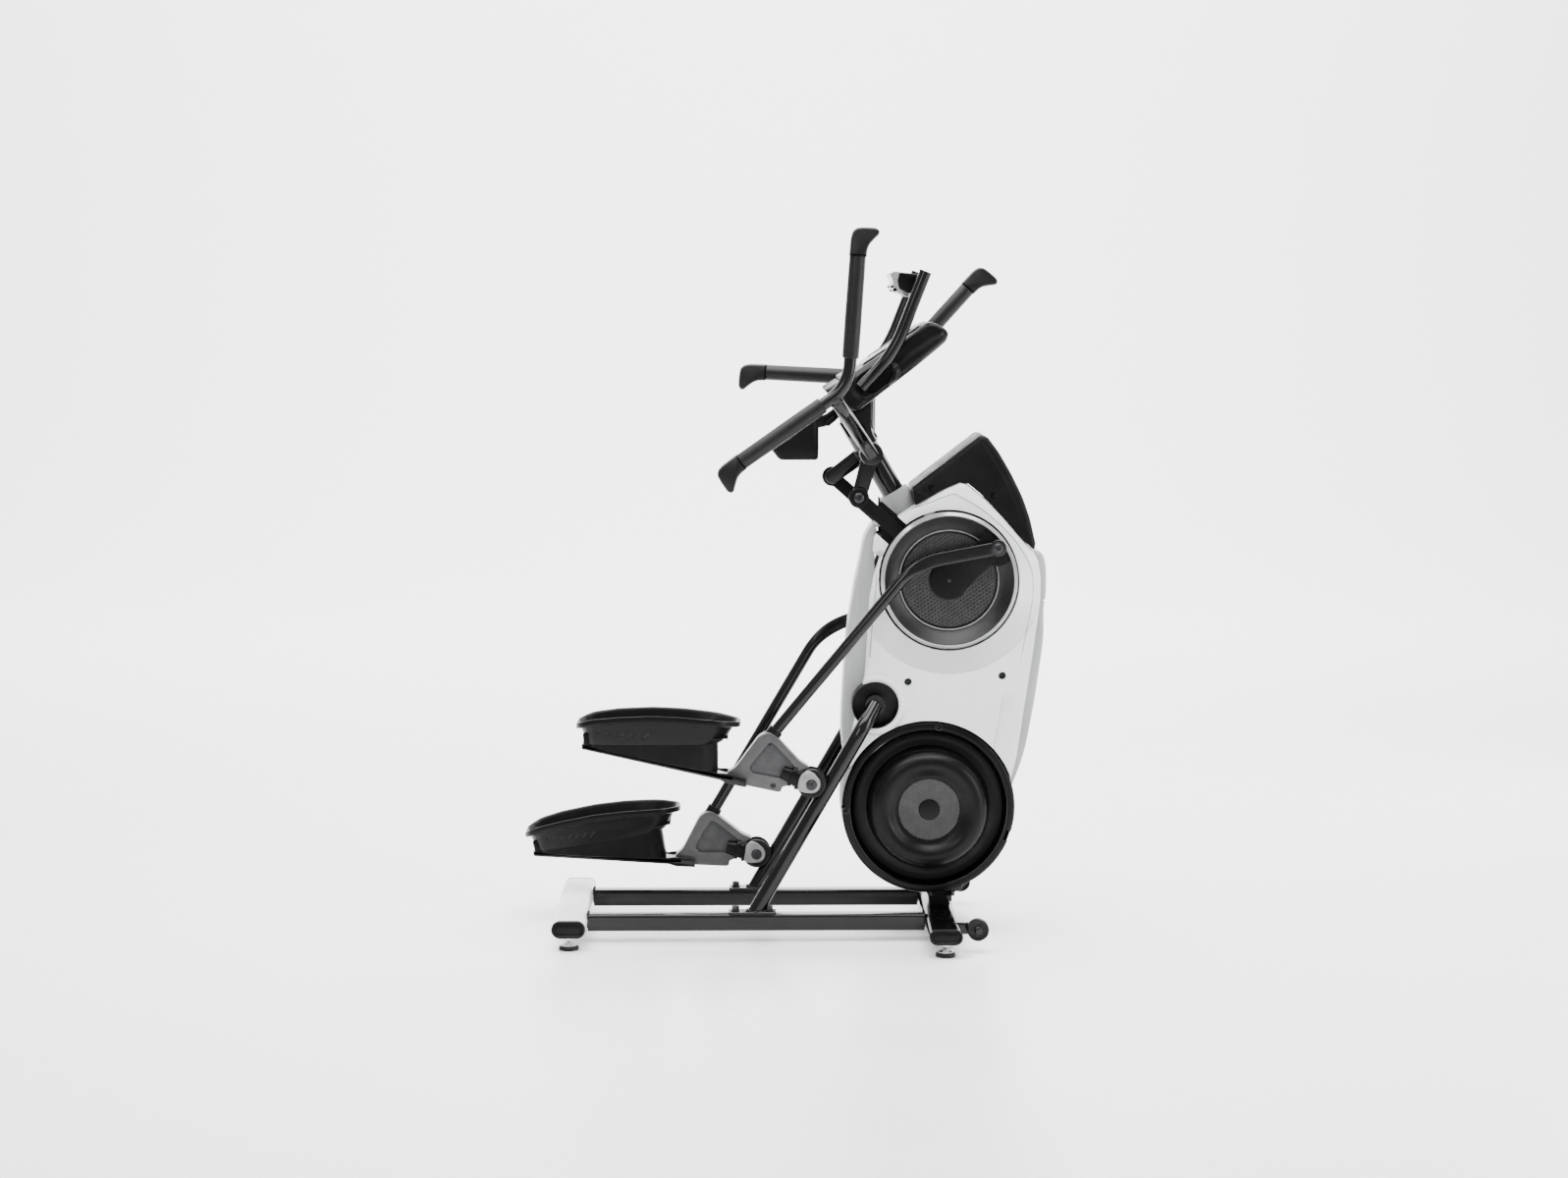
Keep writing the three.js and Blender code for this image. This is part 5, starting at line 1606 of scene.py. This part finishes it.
def build_keys():
    keys = (("start", -70), ("stop", 70), ("level_up", -24), ("level_down", 24))
    collars = []
    for name, y in keys:
        base, top = on_face("keys", 52, 2.6), on_face("keys", 52, 7.5)
        a, b = Vector(flat(base, y)), Vector(flat(top, y))
        run = (b - a).normalized()
        stations = [a, b - run * 1.2, b - run * 0.3, b, b]
        key = sweep(stations, [(9, 9), (9, 9), (8.5, 8.5), (7.4, 7.4), (5, 5)], 36)
        piece(f"{name}_key_cap", key, "grey_keys", f"{name}_key", f"{name}_button")
        low = Vector(flat(on_face("keys", 52, -1), y))
        rings = []
        for radius, along in ((12.5, 0), (12.5, 2.4), (11.6, 3.4), (10.4, 3.4), (9.9, 2.6), (9.9, 0)):
            centre = low + run * along
            across = Vector((0, 1, 0))
            up = across.cross(run)
            rings.append([centre + across * (radius * math.cos(t)) + up * (radius * math.sin(t))
                          for t in np.linspace(0, 2 * math.pi, 36, endpoint=False)])
        collars.append(loft(rings + rings[:1], caps=(False, False)))
    collar = merge(*collars)
    bmesh.ops.remove_doubles(collar, verts=collar.verts, dist=0.01)
    piece("key_collars", collar, "black_plastic", "frame")


def build_bottle_holder():
    def brim(x):
        return float(np.interp(x, (-30, -24, 12, 30, 48, 64, 84),
                               (1139, 1142, 1158, 1172, 1191, 1199, 1202)))

    levels = [(1112, 6.5), (1113.5, 3), (1117, 0.8), (1140, 0), ("brim", 0), ("brim", 1.5), ("brim", 3.2),
              (1140, 3.2), (1118, 4), (1115.5, 9)]
    cup = []
    for level, gap in levels:
        ring = []
        low = 1140 if level == "brim" else level
        left = float(np.interp(low, (1112, 1140), (-10, -30)))
        plan = rounded([(left, -42), (83, -42), (83, 42), (left, 42)], 14, 6)
        for x, y in dense(inset(plan, gap) if gap else plan, 6):
            ring.append((x, y, brim(x) if level == "brim" else level))
        cup.append(ring)
    longest = max(len(ring) for ring in cup)
    cup = [resample(ring, longest) for ring in cup]
    bracket = plate(rounded([(66, 1192), (74, 1186), (100, 1188), (140, 1216), (146, 1240), (126, 1236),
                             (96, 1214), (70, 1212)], [6, 6, 12, 8, 8, 8, 10, 8], 5), 1, -17, 17, 3)
    knob = rod((80, -38, 1202), (80, 38, 1202), 15.5, 36, dome=2)
    clamp = plate(rounded([(94, 1196), (106, 1189), (126, 1206), (120, 1216)], 3), 1, -24, 24, 2)
    piece("bottle_cup", merge(loft(cup), bracket, knob, clamp), "charcoal_plastic", "frame",
          "bottle_holder", sharp=40)


def resample(ring, count):
    """A closed ring with its points spread evenly along it."""
    at = np.array(list(ring) + [ring[0]], float)
    reach = np.concatenate([[0], np.cumsum(np.linalg.norm(np.diff(at, axis=0), axis=1))])
    stops = np.linspace(0, reach[-1], count, endpoint=False)
    return [tuple(float(np.interp(stop, reach, at[:, axis])) for axis in range(3)) for stop in stops]


def build_fixed_handlebar():
    y = 159
    tubes = []
    for side in SIDES.values():
        path = [flat(at, side * y) for at in ((176, 1284), (250, 1361), (322, 1546))]
        tubes.append(pipe(path, 14, 62, 16, 36))
        tubes.append(disc_between(flat((321.2, 1544), side * y), flat((322.6, 1547.5), side * y), 14.6))
    across = rod((313, -y, 1524), (313, y, 1524), 13.5, 36)
    piece("rest_tube", merge(across, *tubes), "black_paint", "frame", "fixed_handlebar", sharp=40)
    block = rounded([(262, 1526), (268, 1546), (309, 1542), (300, 1504), (290, 1497), (266, 1508)], 4)
    grip = plate(block, 1, -96, 96, 3)
    piece("pulse_block", grip, "black_plastic", "frame", "pulse_grip")
    plates, studs = [], []
    skin = rounded([(243.5, 1543), (255, 1549.5), (268, 1548), (263, 1526), (268, 1510), (292, 1498),
                    (287, 1488), (260, 1499), (248, 1512), (252, 1522)],
                   [3, 3, 2, 5, 5, 2, 3, 8, 6, 8], 4)
    for side in SIDES.values():
        plates.append(plate(skin, side, 14, 50, 1.5))
        plates.append(plate(skin, side, 54, 92, 1.5))
        studs.append(disc((256, 1506), 4.5, side, 50, 94, 1, 20))
        studs.append(disc((249.5, 1513), 3, side, 50, 93.4, 0.8, 20))
    piece("pulse_plates", merge(*plates), "bright_steel", "frame")
    piece("pulse_studs", merge(*studs), "black_plastic", "frame")


def disc_between(start, end, radius):
    """A flat cap on the end of a tube."""
    a, b = Vector(start), Vector(end)
    return sweep([a, a.lerp(b, 0.8), b], [(radius, radius), (radius, radius), (radius - 1, radius - 1)], 36)


# ------------------------------------------------------------------ stage

# each lamp: name, place, the point it faces, its two sides in metres, watts
LAMPS = (
    ("overhead", (-0.3, -0.4, 4.4), (-0.1, 0.1, 0), (5.0, 4.2), 700),
    ("key", (-2.4, -4.4, 3.4), (0, 0, 0.8), (1.0, 1.6), 60),
    ("right", (3.6, -2.0, 1.5), (0.2, 0, 0.8), (0.9, 2.4), 90),
    ("rim", (2.8, 1.8, 1.9), (0, 0, 0.9), (0.8, 2.6), 70),
    ("wash", (0, 5.2, 6.2), (0, 9.4, 0.6), (12.0, 2.5), 2500))
GLOW = {"from": (-0.2, 0.9), "to": (0.7, 1.3)}     # the world's strength along +Y
CAMERA = {"lens_mm": 68.5, "sensor_mm": 36, "at": (-0.0900, -6.97, 1.4949), "tilt": 5.636, "turn": -0.782}


def build_stage():
    reach, wall, curve = 60.0, 8.0, 3.0
    ground = [(-reach, 0.0), (wall, 0.0)]
    rise = [(wall + curve * math.sin(math.radians(a)), curve - curve * math.cos(math.radians(a)))
            for a in range(0, 91, 6)]
    rise += [(wall + curve, 12.0)]
    for name, profile, roughness in (("floor", ground, 0.3), ("backdrop", rise, 0.8)):
        form = bmesh.new()
        rows = [[form.verts.new((x, y, z)) for y, z in profile] for x in (-reach, reach)]
        for i in range(len(profile) - 1):
            form.faces.new((rows[0][i], rows[1][i], rows[1][i + 1], rows[0][i + 1])).smooth = True
        mesh = bpy.data.meshes.new(name)
        form.to_mesh(mesh)
        form.free()
        surface = bpy.data.objects.new(name, mesh)
        bpy.context.scene.collection.objects.link(surface)
        pale = shader(f"studio_{name}", (0.93, 0.93, 0.93), roughness, specular=0.4)
        vary(pale, "Roughness", noise(pale, 3), roughness * 0.9, roughness * 1.1)
        mesh.materials.append(pale)

    world = bpy.data.worlds.new("studio")
    bpy.context.scene.world = world
    world.use_nodes = True
    direction = node(world, "ShaderNodeTexCoord")
    parts = node(world, "ShaderNodeSeparateXYZ")
    link(world, direction.outputs["Generated"], parts.inputs["Vector"])
    background = world.node_tree.nodes["Background"]
    background.inputs["Color"].default_value = (1, 1, 1, 1)
    glow = rescaled(world, parts.outputs["Y"], GLOW["from"], GLOW["to"])
    link(world, glow, background.inputs["Strength"])
    for name, at, aim, size, power in LAMPS:
        lamp = bpy.data.lights.new(name, "AREA")
        lamp.shape = "RECTANGLE"
        lamp.size, lamp.size_y = size
        lamp.energy = power
        holder = bpy.data.objects.new(name, lamp)
        holder.location = at
        holder.rotation_euler = (Vector(aim) - Vector(at)).to_track_quat("-Z", "Y").to_euler()
        bpy.context.scene.collection.objects.link(holder)

    lens = bpy.data.cameras.new("camera")
    lens.lens = CAMERA["lens_mm"]
    lens.sensor_width = CAMERA["sensor_mm"]
    camera = bpy.data.objects.new("camera", lens)
    camera.location = CAMERA["at"]
    camera.rotation_euler = (math.radians(90 - CAMERA["tilt"]), 0, math.radians(CAMERA["turn"]))
    bpy.context.scene.collection.objects.link(camera)
    bpy.context.scene.camera = camera


build_stage()
build_base()
build_main_frame()
build_mast()
build_inclined_rails()
build_side_shells()
build_centre_covers()
build_top_cover()
build_bowls()
build_cranks()
build_fan_covers()
build_drive()
build_legs()
build_handlebars()
build_console()
build_fixed_handlebar()
